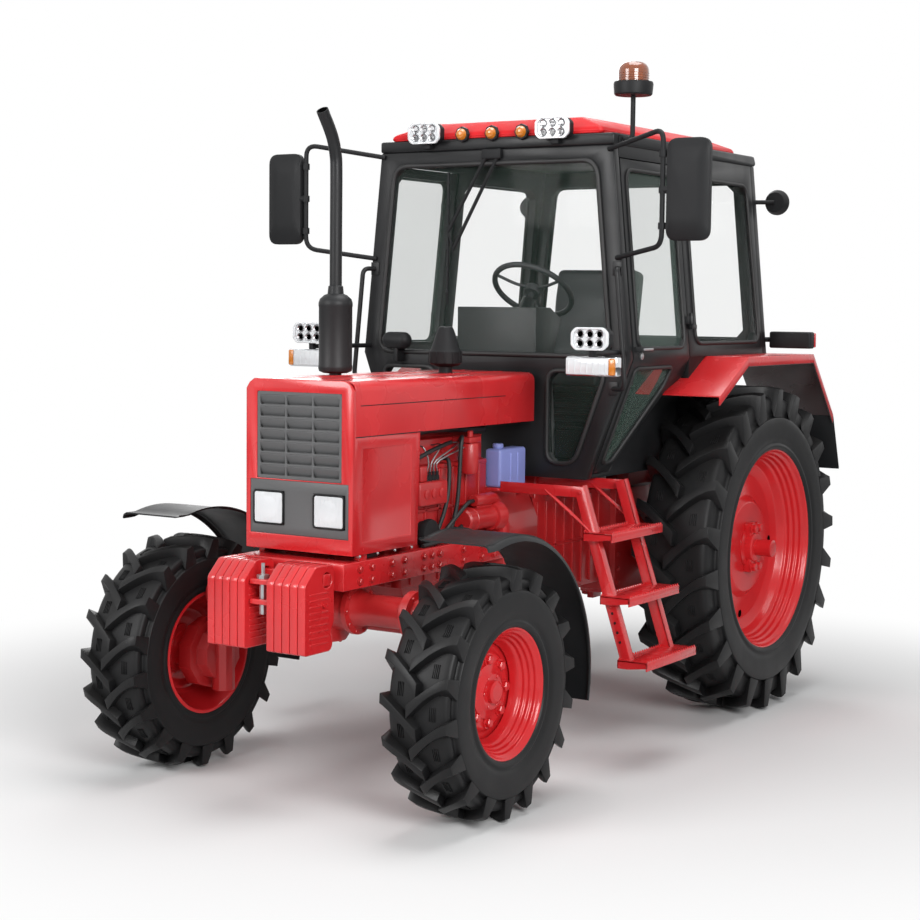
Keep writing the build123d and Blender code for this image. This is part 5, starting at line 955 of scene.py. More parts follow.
class TRACTOR_OT_front_end(bpy.types.Operator):
    """Makes front axle, front fenders, frame bolts and ballast"""

    bl_idname = "tractor.front_end"
    bl_label = "Front End"

    def execute(self, context):
        size = context.scene.tractor_sizes
        self.axle()
        for side, sign in SIDES:
            self.fender(side, sign)
        self.weights()
        self.frame_bolts(size.bolt)
        return {"FINISHED"}

    def axle(self):
        low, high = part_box("front_axle")
        y, z, pin = middle("front_rim_left").y, 0.750, high.x - 0.052
        bm = bmesh.new()
        half = [(0.0, 0.100), (0.060, 0.099), (0.110, 0.092), (0.150, 0.086), (0.150, 0.104), (0.172, 0.104),
                (0.174, 0.078), (0.200, 0.066), (0.235, 0.063), (pin - 0.150, 0.063), (pin - 0.112, 0.070),
                (pin - 0.112, 0.094), (pin - 0.078, 0.094), (pin - 0.076, 0.066), (pin, 0.060)]
        add_turned(bm, [(-x, r) for x, r in half[:0:-1]] + half, at(0, y, z), 48)
        sump = [(0.606, 0.060), (0.612, 0.086), (0.630, 0.097), (z, 0.100)]
        add_turned(bm, sump, at(0, y, 0) @ UPRIGHT, 40)
        add_box(bm, (-0.09, y - 0.1, 0.76), (0.09, y + 0.1, 0.855), 0.012)
        drive = [(0.652, 0.036), (0.654, 0.050), (0.664, 0.052), (0.790, 0.052), (0.792, 0.058),
                 (0.812, 0.058), (0.814, 0.052), (0.842, 0.051), (0.848, 0.042), (0.858, 0.038),
                 (0.860, 0.012)]
        for sign in (1, -1):
            post = at(sign * pin, y, 0) @ UPRIGHT
            add_turned(bm, drive, post, 32)
            add_turned(bm, [(low.z, 0.0355), (0.66, 0.0355)], post, 32)
            add_turned(bm, [(pin - 0.074, 0.064), (pin + 0.048, 0.058)], at(0, y, z) @ hand(sign), 32)
            for x, count, radius, size in ((0.172, 10, 0.093, 0.008), (pin - 0.078, 6, 0.082, 0.007)):
                add_bolts(bm, [(sign * x, y + a, z + b) for a, b in ring(count, radius)], (sign, 0, 0), size)
            lid = [(sign * pin + a, y + b, 0.848) for a, b in ring(4, 0.030, pi / 4)]
            add_bolts(bm, lid, (0, 0, 1), 0.005)
        add_bolts(bm, [(a, y + b, 0.614) for a, b in ring(8, 0.075)], (0, 0, -1), 0.007)
        piece("front_axle_beam", bm, "chassis", "red_casting", ["front_axle"])

    def fender(self, side, sign):
        node, body = f"front_fender_{side}", f"{side}_knuckle"
        centre = middle(f"front_tyre_{side}")
        low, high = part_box(node)
        inner, outer = (low.x, high.x) if sign > 0 else (-high.x, -low.x)
        radius, sheet, steps = high.z - centre.z, 0.006, 40
        start, end = radians(-12), radians(104)
        angles = [start + (end - start) * k / steps for k in range(steps + 1)]
        line = [(radius * cos(a), radius * sin(a)) for a in angles]
        y, z = line[-1]
        line += [(y - reach, z - 0.0005) for reach in (0.022, 0.045, 0.060)]
        section = [(inner, 0.0), (inner + 0.02, 0.0), (outer - 0.045, 0.0), (outer - 0.018, -0.003),
                   (outer - 0.006, -0.010), (outer - 0.001, -0.026)]
        across = smooth_line([(x, drop, 0) for x, drop in section], 3)
        corners, faces, count = [], [], len(across)
        for i, (a, b) in enumerate(line):
            for p in across:
                scale = 1 + p.y / radius
                y, z = (a * scale, b * scale) if i <= steps else (a, b + p.y)
                corners.append((sign * p.x, centre.y + y, centre.z + z))
        for k in range(len(line) - 1):
            for i in range(k * count, (k + 1) * count - 1):
                faces.append((i, i + 1, i + count + 1, i + count))
        bm, bolts = bmesh.new(), bmesh.new()
        add_faces(bm, corners, faces)
        bmesh.ops.recalc_face_normals(bm, faces=bm.faces)
        upper = max(bm.faces, key=lambda f: f.calc_center_median().z)
        if upper.normal.z < 0:
            bmesh.ops.reverse_faces(bm, faces=bm.faces)
        bmesh.ops.solidify(bm, geom=bm.faces[:], thickness=sheet)
        for a in (radians(24), radians(30)):
            way = Vector((0, radius * cos(a), radius * sin(a)))
            spots = [Vector((sign * (inner + x), centre.y, centre.z)) + way for x in (0.05, 0.10)]
            add_bolts(bolts, spots, way, 0.008)
        piece(f"{node}_sheet", bm, body, "black_enamel", [node], 50)
        piece(f"{node}_bolts", bolts, body, "zinc")

    def weights(self):
        low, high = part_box("front_weights")
        front, back, z0, z1 = low.y, high.y, low.z, high.z
        count, thick, gap, inner = 5, 0.035, 0.0025, 0.053
        stack = inner + (thick + gap) * count
        outline = [(front, z0 + 0.006), (front, z1 - 0.066), (front + 0.070, z1), (back - 0.014, z1),
                   (back, z1 - 0.020), (back, z0 + 0.110), (back - 0.020, z0 + 0.075),
                   (back - 0.006, z0 + 0.030), (back - 0.020, z0), (front + 0.012, z0)]
        eye = [(back - 0.046 + a, z1 - 0.059 + b) for a, b in ring(24, 0.030)]
        bm = bmesh.new()
        for sign in (1, -1):
            for k in range(count):
                place = at(sign * (inner + thick / 2 + k * (thick + gap)), 0, 0) @ ALONG_YZ
                add_plate(bm, [rounded(outline, 0.014), eye], thick, place, 0.005)
            for face, way in ((stack - gap, 1), (inner, -1)):
                x0, x1 = span(sign, face - way * 0.004, face + way * 0.0025)
                for k in range(9):
                    z = z0 + 0.035 + 0.024 * k
                    add_box(bm, (x0, front + 0.030, z), (x1, back - 0.040, z + 0.007), 0.002)
            rod_y, rod_z = back - 0.075, z0 + 0.185
            add_tube(bm, [(x, rod_y, rod_z) for x in span(sign, inner - 0.02, stack + 0.012)], 0.009, 12)
        piece("ballast_plates", bm, "chassis", "red_enamel", ["front_weights"])

    def frame_bolts(self, size):
        rail, nose_y, edge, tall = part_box("front_frame")[1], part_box("nose_panel")[0].y, 0.028, 0.105
        bm = bmesh.new()
        for sign in (1, -1):
            for y in (0.05, 0.13, 0.27, 0.36, 0.50, 0.56, 0.62, 0.80, 0.95, 1.05):
                spots = [(sign * rail.x, nose_y + y, rail.z - drop) for drop in (tall - edge, edge)]
                add_bolts(bm, spots, (sign, 0, 0), size)
        piece("frame_bolts", bm, "chassis", "red_casting")


class TRACTOR_OT_engine(bpy.types.Operator):
    """Makes what stands on the engine, its pipes and its bolts"""

    bl_idname = "tractor.engine"
    bl_label = "Engine"

    def execute(self, context):
        low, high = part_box("engine_block")
        self.fittings(low, high)
        self.pipes(low, high)
        self.casting_ribs()
        self.tank()
        return {"FINISHED"}

    def fittings(self, low, high):
        front, back = low.y + 0.045, high.y
        half, deck = 0.170, 1.290
        bm, dark = bmesh.new(), bmesh.new()
        x, y = 0.212, back - 0.205
        filter_place = at(x, y, 0) @ UPRIGHT
        fuel = [(1.236, 0.018), (1.240, 0.034), (1.252, 0.040), (1.362, 0.040), (1.370, 0.036),
                (1.372, 0.028)]
        add_turned(bm, fuel, filter_place, 32)
        add_box(bm, (0.150, y - 0.045, 1.372), (x + 0.030, y + 0.045, 1.398), 0.006)
        add_turned(bm, [(1.398, 0.014), (1.420, 0.014), (1.424, 0.010)], filter_place, 16)
        x, z, coil_z = half + 0.052, 1.042, 1.042 + 0.078
        starter = [(-0.280, 0.020), (-0.278, 0.042), (-0.268, 0.050), (-0.220, 0.050), (-0.218, 0.052),
                   (-0.208, 0.052), (-0.206, 0.048), (-0.060, 0.048), (-0.058, 0.060), (-0.020, 0.066),
                   (0.0, 0.066)]
        add_turned(bm, starter, at(x, back, z) @ ALONG_Y, 36)
        coil = [(-0.190, 0.010), (-0.188, 0.024), (-0.180, 0.027), (-0.040, 0.027), (-0.020, 0.022)]
        add_turned(bm, coil, at(x, back, coil_z) @ ALONG_Y, 28)
        add_box(bm, (x - 0.010, back - 0.170, z), (x + 0.010, back - 0.040, coil_z), 0.003)
        pump_y, pump_x = front + 0.040, 0.236
        add_box(bm, (half, pump_y, 1.130), (pump_x, pump_y + 0.210, 1.230), 0.010)
        add_box(bm, (half + 0.020, pump_y + 0.020, 1.230), (pump_x - 0.010, pump_y + 0.070, 1.296), 0.008)
        for k in range(4):
            place = at(0.203, front + 0.130 + 0.028 * k, 0) @ UPRIGHT
            add_turned(dark, [(1.228, 0.010), (1.250, 0.010), (1.252, 0.007), (1.268, 0.007)], place, 6)
        for k in range(3):
            place = at(pump_x, pump_y + 0.050 + 0.055 * k, 1.180)
            add_turned(bm, [(-0.004, 0.020), (0.004, 0.020), (0.006, 0.012)], place, 20)
        oil = [(-0.01, 0.050), (0.020, 0.052), (0.024, 0.060), (0.040, 0.062), (0.052, 0.058),
               (0.056, 0.030)]
        add_turned(dark, oil, at(half, front + 0.150, 1.010), 32)
        x = -half - 0.068
        alternator = [(0.030, 0.030), (0.032, 0.060), (0.044, 0.066), (0.176, 0.066), (0.188, 0.058),
                      (0.190, 0.020)]
        add_turned(bm, alternator, at(x, front, 1.090) @ ALONG_Y, 36)
        add_box(bm, (x, front + 0.060, 1.070), (-half, front + 0.150, 1.110), 0.004)
        add_box(bm, (-0.212, front + 0.010, deck + 0.028), (-0.150, back - 0.060, 1.382), 0.012)
        hub, blades, blade_x = at(0, front, 1.160) @ ALONG_Y, 6, -0.124
        add_turned(bm, [(-0.150, 0.020), (-0.148, 0.046), (-0.046, 0.048)], hub, 32)
        for k in range(blades):
            turn = hub @ Matrix.Rotation(2 * pi * k / blades, 4, "X") @ Matrix.Rotation(radians(28), 4, "Y")
            add_box(dark, (blade_x - 0.002, 0.030, -0.034), (blade_x + 0.002, 0.198, 0.034), 0.0015, turn)
        piece("engine_units", bm, "chassis", "red_casting", ["engine_fittings"])
        piece("engine_dark_units", dark, "chassis", "moulded_black")

    def pipes(self, low, high):
        front, back = low.y + 0.045, high.y
        steel, black = bmesh.new(), bmesh.new()
        for k in range(4):
            start = Vector((0.203, front + 0.130 + 0.028 * k, 1.262))
            end = Vector((0.150, front + 0.110 + 0.135 * k, 1.372))
            line = smooth_line([start, start + Vector((0.012, 0, 0.05)), end + Vector((0.05, 0, 0.0)), end])
            add_tube(steel, line, 0.0035, 8)
        hose, cable, intake = 0.009, 0.013, 0.045
        runs = (
            (hose, [(0.196, back - 0.26, 1.385), (0.226, back - 0.29, 1.40), (0.232, back - 0.31, 1.34),
                    (0.230, back - 0.33, 1.12), (0.205, back - 0.36, 0.985), (0.175, back - 0.38, 0.975)]),
            (hose, [(0.175, front + 0.30, 1.315), (0.205, front + 0.30, 1.30), (0.226, front + 0.27, 1.20),
                    (0.226, front + 0.24, 1.10), (0.205, front + 0.20, 0.985)]),
            (hose, [(0.172, front + 0.02, 1.33), (0.215, front + 0.04, 1.33), (0.22, front + 0.16, 1.36),
                    (0.195, front + 0.33, 1.38)]),
            (hose, [(0.222, back - 0.19, 1.120), (0.232, back - 0.25, 1.115), (0.228, back - 0.34, 1.06),
                    (0.20, back - 0.42, 0.98)]),
            (hose, [(0.222, back - 0.28, 1.02), (0.236, back - 0.33, 1.0), (0.236, back - 0.46, 0.975),
                    (0.236, front + 0.06, 0.968)]),
            (cable, [(0.155, front + 0.03, 1.42), (0.165, front + 0.20, 1.435), (0.160, front + 0.40, 1.430),
                     (0.155, back, 1.42)]),
            (intake, [(0, -0.622, 1.48), (0.0, -0.70, 1.54), (0.0, -0.90, 1.56), (0.0, -1.10, 1.55)]),
        )
        for radius, run in runs:
            add_tube(black, smooth_line(run, 6), radius, 20 if radius == intake else 12)
        piece("fuel_pipes", steel, "chassis", "zinc")
        piece("engine_pipes", black, "chassis", "gasket")

    def casting_ribs(self):
        gear_back, case_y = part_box("transmission")[1].y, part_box("rear_axle")[0].y + 0.03
        block_low, block_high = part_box("engine_block")
        front, back, join = block_low.y + 0.045, block_high.y, gear_back - 0.78
        bm = bmesh.new()
        for sign in (1, -1):
            x0, x1 = span(sign, 0.168, 0.178)
            for k in range(6):
                y = front + 0.06 + 0.105 * k
                add_box(bm, (x0, y, 0.80), (x1, y + 0.016, 1.28), 0.003)
            for z0, z1 in ((1.270, 1.290), (1.095, 1.110)):
                add_box(bm, (x0, front + 0.01, z0), (x1, back - 0.01, z1), 0.004)
            gear0, gear1 = span(sign, 0.176, 0.188)
            for k in range(8):
                y = join + 0.05 + 0.085 * k
                add_box(bm, (gear0, y, 0.64), (gear1, y + 0.012, 1.06), 0.003)
            add_box(bm, (gear0, join + 0.02, 0.84), (gear1, gear_back - 0.02, 0.856), 0.004)
            outward, upward, back_way = (sign, 0, 0), (0, 0, 1), (0, 1, 0)
            add_bolts(bm, [(sign * 0.150, front + 0.07 + 0.085 * k, 1.34) for k in range(7)], outward, 0.009)
            add_bolts(bm, [(sign * 0.095, front + 0.08 + 0.13 * k, 1.478) for k in range(5)], upward, 0.008)
            add_bolts(bm, [(sign * 0.246, back + 0.060, 0.82 + 0.042 * k) for k in range(5)], back_way, 0.009)
            add_bolts(bm, [(sign * 0.21, case_y, 0.60 + 0.07 * k) for k in range(7)], outward, 0.010)
        piece("casting_ribs", bm, "chassis", "red_casting")

    def tank(self):
        low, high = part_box("washer_tank")
        bm, cap = bmesh.new(), bmesh.new()
        top = high.z - 0.022
        add_box(bm, low, (high.x, high.y, top), 0.014, steps=4)
        for y in (low.y + 0.085, low.y + 0.145):
            add_box(bm, (low.x - 0.002, y, low.z + 0.02), (high.x + 0.003, y + 0.014, top - 0.02), 0.004)
        neck = at((low.x + high.x) / 2, low.y + 0.045, 0) @ UPRIGHT
        add_turned(bm, [(top - 0.004, 0.021), (top + 0.006, 0.021)], neck, 24)
        add_turned(cap, [(top + 0.004, 0.024), (top + 0.019, 0.024), (top + 0.022, 0.021)], neck, 18)
        piece("washer_tank_shell", bm, "chassis", "cloudy_tank", ["washer_tank"])
        piece("washer_tank_cap", cap, "chassis", "cloudy_tank")


class TRACTOR_OT_ladders(bpy.types.Operator):
    """Makes rails, tread lips and teeth, dark discs painted as the shade of holes, and bolts of the ladders
    """

    bl_idname = "tractor.ladders"
    bl_label = "Ladders"

    def execute(self, context):
        low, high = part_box("ladders")
        top, foot = Vector((0.620, 1.190)), Vector((0.868, 0.440))
        lean = (foot.x - top.x) / (foot.y - top.y)
        rail_half, wall, lip, tread, teeth_count, inset = 0.0246, 0.006, 0.036, 0.005, 22, 0.004
        teeth, dark, bolts = bmesh.new(), bmesh.new(), bmesh.new()
        along = Vector((top.x - foot.x, 0, top.y - foot.y))
        long, up = along.length - 0.001, along.normalized()
        rail = Matrix(((up.z, 0, -up.x), (0, 1, 0), up)).transposed().to_4x4()
        rail.translation = (foot.x, 0, foot.y)
        pitch = (high.y - low.y - 2 * inset) / teeth_count
        for sign in (1, -1):
            place = hand(sign) @ rail
            for y, flange in ((low.y + 0.031, low.y + 0.064), (high.y - 0.070, high.y - 0.070)):
                add_box(teeth, (0.019, y, 0.001), (rail_half, y + 0.039, long), 0.0015, place)
                add_box(teeth, (-rail_half, flange, 0.001), (rail_half, flange + wall, long), 0.0015, place)
            for z in (1.000, 0.735, 0.470):
                x = top.x + lean * (z - top.y)
                for edge in (x + 0.117, x - 0.017):
                    x0, x1 = span(sign, edge - tread / 2, edge + tread / 2)
                    add_box(teeth, (x0, low.y, z - lip), (x1, high.y, z), 0.0012)
                    line = [(low.y + inset, z - 0.004)]
                    for k in range(teeth_count):
                        y = low.y + inset + k * pitch
                        for share, rise in ((0.15, 0.001), (0.5, 0.010), (0.85, 0.001)):
                            line.append((y + share * pitch, z + rise))
                    line.append((high.y - inset, z - 0.004))
                    add_plate(teeth, [line], tread, at(sign * edge, 0, 0) @ ALONG_YZ, 0.0008)
                corners = [(x - 0.02, z), (x + 0.12, z), (x + 0.12, z - 0.024), (x + 0.03, z - lip)]
                corners.append((x - 0.02, z - lip))
                gusset = [(sign * a, b) for a, b in corners]
                for y in (low.y + wall / 2, high.y - wall / 2):
                    add_plate(teeth, [gusset], wall, at(0, y, 0) @ ALONG_XZ, 0.001)
            # Dark discs on the rails are painted shade where holes would be.
            for y, way in ((low.y + 0.030, -1), (high.y - 0.030, 1)):
                for z in (0.66, 0.62, 0.58, 0.54):
                    x = sign * (top.x + lean * (z - top.y))
                    add_tube(dark, [(x, y + way * 0.0004, z), (x, y + way * 0.0012, z)], 0.006, 14)
                spots = [(sign * (top.x + lean * (z - top.y)), y, z) for z in (1.165, 0.98, 0.72, 0.69)]
                add_bolts(bolts, spots, (0, way, 0), 0.007)
        piece("ladder_teeth", teeth, "chassis", "red_enamel")
        piece("ladder_hole_shades", dark, "chassis", "moulded_black")
        piece("ladder_bolts", bolts, "chassis", "red_enamel")
        return {"FINISHED"}


class TRACTOR_OT_rear_end(bpy.types.Operator):
    """Makes bolts, flanges and cover of the rear axle"""

    bl_idname = "tractor.rear_end"
    bl_label = "Rear End"

    def execute(self, context):
        centre, case_back = middle("rear_tyre_left"), 1.195
        y, z = centre.y, centre.z
        bm = bmesh.new()
        flange = [(0.205, 0.13), (0.206, 0.165), (0.228, 0.165), (0.232, 0.132)]
        for sign in (1, -1):
            add_turned(bm, flange, at(0, y, z) @ hand(sign), 48)
            add_bolts(bm, [(sign * 0.230, y + a, z + b) for a, b in ring(12, 0.150)], (sign, 0, 0), 0.010)
        spots = [(a, case_back, b) for a in (-0.19, 0.19) for b in (0.60, 0.70, 0.80, 0.90, 1.0)]
        add_bolts(bm, spots, (0, 1, 0), 0.010)
        cover = rounded([(-0.12, 0.70), (0.12, 0.70), (0.12, 0.86), (-0.12, 0.86)], 0.03)
        add_plate(bm, [cover], 0.012, at(0, case_back + 0.004, 0) @ ALONG_XZ, 0.003)
        piece("rear_axle_bolts", bm, "chassis", "red_casting")
        return {"FINISHED"}


# Forms of the cab


def cab_half(cab, z):
    """Half width of the cab's outside at a height."""
    if z < cab.belt:
        return cab.floor_half + (cab.belt_half - cab.floor_half) * (z - cab.floor) / (cab.belt - cab.floor)
    return cab.belt_half + (cab.top_half - cab.belt_half) * (z - cab.belt) / (cab.top - cab.belt)


def across_window(cab, low, high, inset):
    """Corners, in x and z, of a window across the cab between two heights."""
    half_low, half_high = cab_half(cab, low) - inset, cab_half(cab, high) - inset
    return [(half_low, low), (half_high, high), (-half_high, high), (-half_low, low)]


def add_gasket(bm, corners, radius, corner):
    """Adds a closed rubber bead along rounded corners."""
    line = rounded(corners, corner)
    add_tube(bm, line + line[:2], radius, 10)


class TRACTOR_OT_cab(bpy.types.Operator):
    """Makes window gaskets, roof, door locks, wiper, horn and handles"""

    bl_idname = "tractor.cab"
    bl_label = "Cab"

    def execute(self, context):
        cab, size = context.scene.tractor_cab, context.scene.tractor_sizes
        front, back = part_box("cab_front")[0].y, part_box("cab_rear")[1].y
        self.fixed_gaskets(cab, size, front, back)
        for side, sign in SIDES:
            self.door_gaskets(cab, size, side, sign)
        self.roof()
        self.wiper(front)
        self.horn(cab, front)
        self.handles(cab, front)
        return {"FINISHED"}

    def fixed_gaskets(self, cab, size, front, back):
        bm, proud, bend = bmesh.new(), 0.002, 0.06
        screen = across_window(cab, cab.belt + 0.008, cab.top - 0.064, 0.086)
        add_gasket(bm, [(x, front - proud, z) for x, z in screen], 1.3 * size.gasket, 0.075)
        rear = across_window(cab, cab.belt + 0.070, cab.top - 0.080, 0.099)
        add_gasket(bm, [(x, back + proud, z) for x, z in rear], size.gasket, bend)
        pane_low, pane_high, inner = cab.floor + 0.067, cab.belt - 0.058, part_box("hood")[1].x + 0.039
        outer_low, outer_high = (cab_half(cab, z) - 0.086 for z in (pane_low, pane_high))
        pane = [(inner, pane_low), (outer_low, pane_low), (outer_high, pane_high), (inner, pane_high)]
        y0, y1 = cab.pillar + cab.pillar_wide, back - 0.046 - 0.040
        z0, z1 = cab.belt + 0.060, cab.top - 0.100
        quarter = [(y0, z0), (y1, z0), (y1 - 0.030, z1), (y0, z1)]
        for sign in (1, -1):
            add_gasket(bm, [(sign * x, front - proud, z) for x, z in pane], 1.2 * size.gasket, bend)
            line = [(sign * (cab_half(cab, z) + 0.001), y, z) for y, z in quarter]
            add_gasket(bm, line, size.gasket, bend)
        piece("window_gaskets", bm, "chassis", "gasket", smooth=60)

    def door_gaskets(self, cab, size, side, sign):
        low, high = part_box(f"door_{side}")
        front, rear, sill, edge = low.y, cab.pillar - 0.006, low.z, cab.door_frame
        knee_y, knee_z, grip_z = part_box("rear_fenders")[0].y - 0.006, 1.574, 1.772
        upper = [(front + edge, cab.belt + edge), (rear - edge, cab.belt + edge),
                 (rear - edge, high.z - edge), (front + edge, high.z - edge)]
        lower = [(front + edge, cab.belt - edge), (front + edge, sill + edge), (front + 0.124, sill + edge),
                 (knee_y - edge, knee_z + edge / 2), (knee_y - edge / 2, cab.belt - edge)]
        bm, lock = bmesh.new(), bmesh.new()
        for outline, corner in ((upper, 0.055), (lower, 0.030)):
            line = [(sign * (cab_half(cab, z) + 0.001), y, z) for y, z in outline]
            add_gasket(bm, line, size.gasket, corner)
        piece(f"door_gaskets_{side}", bm, f"{side}_door", "gasket", smooth=60)
        x, y = cab_half(cab, grip_z), front + 0.024
        bent = [(x - 0.01, y, grip_z), (x + 0.028, y, grip_z), (x + 0.028, y + 0.1, grip_z)]
        add_tube(lock, [(sign * p.x, p.y, p.z) for p in rounded(bent, 0.02, closed=False)], 0.008)
        barrel = at(sign * (x + 0.001), y + 0.045, grip_z - 0.03) @ hand(sign)
        add_turned(lock, [(0, 0.016), (0.008, 0.016), (0.010, 0.012)], barrel, 20)
        piece(f"door_lock_{side}", lock, f"{side}_door", "zinc")

    def roof(self):
        low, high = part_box("cab_roof")
        bm = bmesh.new()
        add_eased(bm, "cab_roof", 0.014, 3)
        lip = rounded([(low.x, low.y), (high.x, low.y), (high.x, high.y), (low.x, high.y)], 0.04)
        add_plate(bm, [lip], 0.010, at(0, 0, low.z + 0.006), 0.003)
        rib, inset = 0.022, 0.15
        for x in (-0.27, -0.09, 0.09, 0.27):
            rib_low = (x - rib, low.y + inset, high.z - 0.01)
            add_box(bm, rib_low, (x + rib, high.y - inset, high.z + 0.004), 0.004)
        piece("roof_cap", bm, "chassis", "roof_enamel", ["cab_roof"])

    def wiper(self, front):
        low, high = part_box("wiper")
        blade_x, blade_top, y = low.x + 0.006, 2.56, front - 0.013
        mid = (low.z + blade_top) / 2
        bm = bmesh.new()
        add_box(bm, (-0.05, front - 0.024, high.z - 0.046), (0.05, front, high.z), 0.008)
        for start, end in (((-0.02, y, high.z - 0.02), (blade_x, y, mid + 0.03)),
                           ((0.035, y, high.z - 0.03), (blade_x + 0.03, y, mid - 0.05))):
            add_tube(bm, [start, Vector(start).lerp(Vector(end), 0.2), end], 0.0085, 8)
        add_tube(bm, [(blade_x, y, mid + 0.04), (blade_x + 0.032, y, mid - 0.06)], 0.005, 8)
        blade_low = (blade_x - 0.004, front - 0.016, low.z)
        add_box(bm, blade_low, (blade_x + 0.004, front - 0.002, blade_top), 0.002)
        for k in range(6):
            z = low.z + 0.05 + k * 0.1
            clip_low = (blade_x - 0.007, front - 0.018, z)
            add_box(bm, clip_low, (blade_x + 0.007, front - 0.010, z + 0.016), 0.002)
        piece("wiper_arms", bm, "chassis", "moulded_black", ["wiper"])

    def horn(self, cab, front):
        radius, half, x = 0.040, 0.036, -0.486
        z, y = cab.belt + 0.060, front - 0.045
        bm = bmesh.new()
        arc = [pi / 2 * k / 7 for k in range(7)]
        ends = [(half + radius * sin(a), radius * cos(a)) for a in arc]
        add_turned(bm, [(-a, r) for a, r in reversed(ends)] + ends, at(x, y, z), 28)
        add_box(bm, (x - 0.012, front - 0.060, cab.belt - 0.040), (x + 0.012, front, z - 0.030), 0.004)
        piece("horn", bm, "chassis", "moulded_black")

    def handles(self, cab, front):
        low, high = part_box("grab_handles")
        tube, wide, tall = 0.011, 0.022, 0.03
        top_z, foot_z, out = high.z - tube, low.z + tube, low.y + tube
        top, foot = cab_half(cab, top_z), cab_half(cab, foot_z)
        bm = bmesh.new()
        for sign in (1, -1):
            line = [(top - 0.023, front, top_z), (top + 0.005, out, top_z), (foot + 0.065, out, foot_z),
                    (foot - 0.023, front, foot_z)]
            add_tube(bm, rounded([(sign * x, y, z) for x, y, z in line], 0.045, closed=False), tube, 14)
            for x, z in ((top - 0.023, top_z), (foot - 0.023, foot_z)):
                foot_low = (sign * x - wide, front - 0.005, z - tall)
                add_box(bm, foot_low, (sign * x + wide, front, z + tall), 0.002)
        piece("pillar_handles", bm, "chassis", "black_enamel", ["grab_handles"])


class TRACTOR_OT_cab_inside(bpy.types.Operator):
    """Makes steering wheel, levers and padded seat"""

    bl_idname = "tractor.cab_inside"
    bl_label = "Cab Inside"

    def execute(self, context):
        self.steering_wheel()
        self.levers()
        self.seat()
        return {"FINISHED"}

    def steering_wheel(self):
        joint = next(j for j in frame["record"]["behaviour"]["joints"] if j["child"] == "hand_wheel")
        axis = Vector(joint["axis"]).normalized()
        if axis.z < 0:
            axis = -axis
        tilt = Vector((1, 0, 0)).rotation_difference(axis).to_matrix().to_4x4()
        place = at(*STEER_CENTRE) @ tilt
        bm = bmesh.new()
        grip = [(a, STEER_R + b) for a, b in ring(12, 0.0135)]
        add_turned(bm, grip, place, 56, closed=True)
        hub = [(-0.020, 0.020), (-0.018, 0.036), (0.010, 0.040), (0.018, 0.034), (0.022, 0.012)]
        add_turned(bm, hub, place, 28)
        add_turned(bm, [(-0.12, 0.0135), (-0.015, 0.0135)], place, 20)
        for turn in (0.0, 2 * pi / 3, 4 * pi / 3):
            spoke = Matrix.Rotation(turn + pi / 2, 4, "X")
            line = [(0.004, 0.03, 0), (-0.004, 0.09, 0), (-0.002, 0.15, 0), (0.0, STEER_R, 0)]
            add_tube(bm, [place @ spoke @ Vector(p) for p in smooth_line(line)], 0.0075, 10)
        piece("steering_wheel_grip", bm, "hand_wheel", "seat_cover", ["steering_wheel"])

    def levers(self):
        bm, knobs, knob = bmesh.new(), bmesh.new(), 0.020
        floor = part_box("cab_tub")[0].z + 0.02
        arc = [pi * (k / 8 - 0.5) for k in range(1, 8)]
        ball = [(knob * sin(a), knob * cos(a)) for a in arc]
        for x, y, z in ((0.12, 0.12, 1.74), (-0.30, 0.45, 1.86), (-0.34, 0.52, 1.84), (-0.38, 0.59, 1.82)):
            line = smooth_line([(x, y + 0.02, floor), (x, y, (floor + z) / 2), (x, y - 0.05, z)])
            add_tube(bm, line, 0.007, 8)
            add_turned(knobs, ball, at(x, y - 0.052, z + 0.012) @ UPRIGHT, 16)
        piece("lever_rods", bm, "chassis", "zinc")
        piece("lever_knobs", knobs, "chassis", "moulded_black")

    def seat(self):
        bm, foot = bmesh.new(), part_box("seat")[0].z
        add_box(bm, (-0.15, 0.465, foot), (0.15, 0.725, 1.555), 0.012)
        for k in range(5):
            z = foot + 0.14 + 0.035 * k
            add_box(bm, (-0.16, 0.455, z), (0.16, 0.735, z + 0.022), 0.010)
        add_box(bm, (-0.22, 0.36, 1.545), (0.22, 0.77, 1.575), 0.010)
        piece("seat_base", bm, "chassis", "moulded_black", ["seat"])
        lean = at(0, 0.725, 1.68) @ Matrix.Rotation(radians(-9.6), 4, "X")
        pads = (
            ("seat_cushion", at(0, 0.56, 1.572), (0.235, 0.215, 0.115), 2),
            ("seat_back", lean, (0.225, 0.055, 0.46), 1),
        )
        for name, place, (half_x, half_y, tall), crown in pads:
            pad = self.pad(name, place, half_x, half_y, tall, crown)

    def pad(self, name, place, half_x, half_y, tall, crown):
        """A stuffed block: a rounded box, crowned on its sitting face, with sewn channels."""
        bm = bmesh.new()
        add_box(bm, (-half_x, -half_y, 0), (half_x, half_y, tall), 0.030, steps=4)
        long_edges = [e for e in bm.edges if e.calc_length() > 0.1]
        bmesh.ops.subdivide_edges(bm, edges=long_edges, cuts=14, use_grid_fill=True)
        for vert in bm.verts:
            x, y, z = vert.co
            across, up = x / half_x, 2 * z / tall - 1
            if crown == 2 and z > 0.7 * tall:
                groove = 0.006 * abs(sin(3 * pi * y / half_y / 2))
                vert.co.z += 0.022 * (1 - across**2) * (1 - (y / half_y) ** 2) + groove - 0.008
            if crown == 1 and y < -0.5 * half_y:
                groove = 0.006 * abs(sin(3 * pi * up / 2))
                vert.co.y += 0.008 - 0.020 * (1 - across**2) * (1 - up**2) - groove
        bm.transform(place)
        return piece(name, bm, "chassis", "seat_cover", smooth=60)


# Lamps, mirrors and beacon


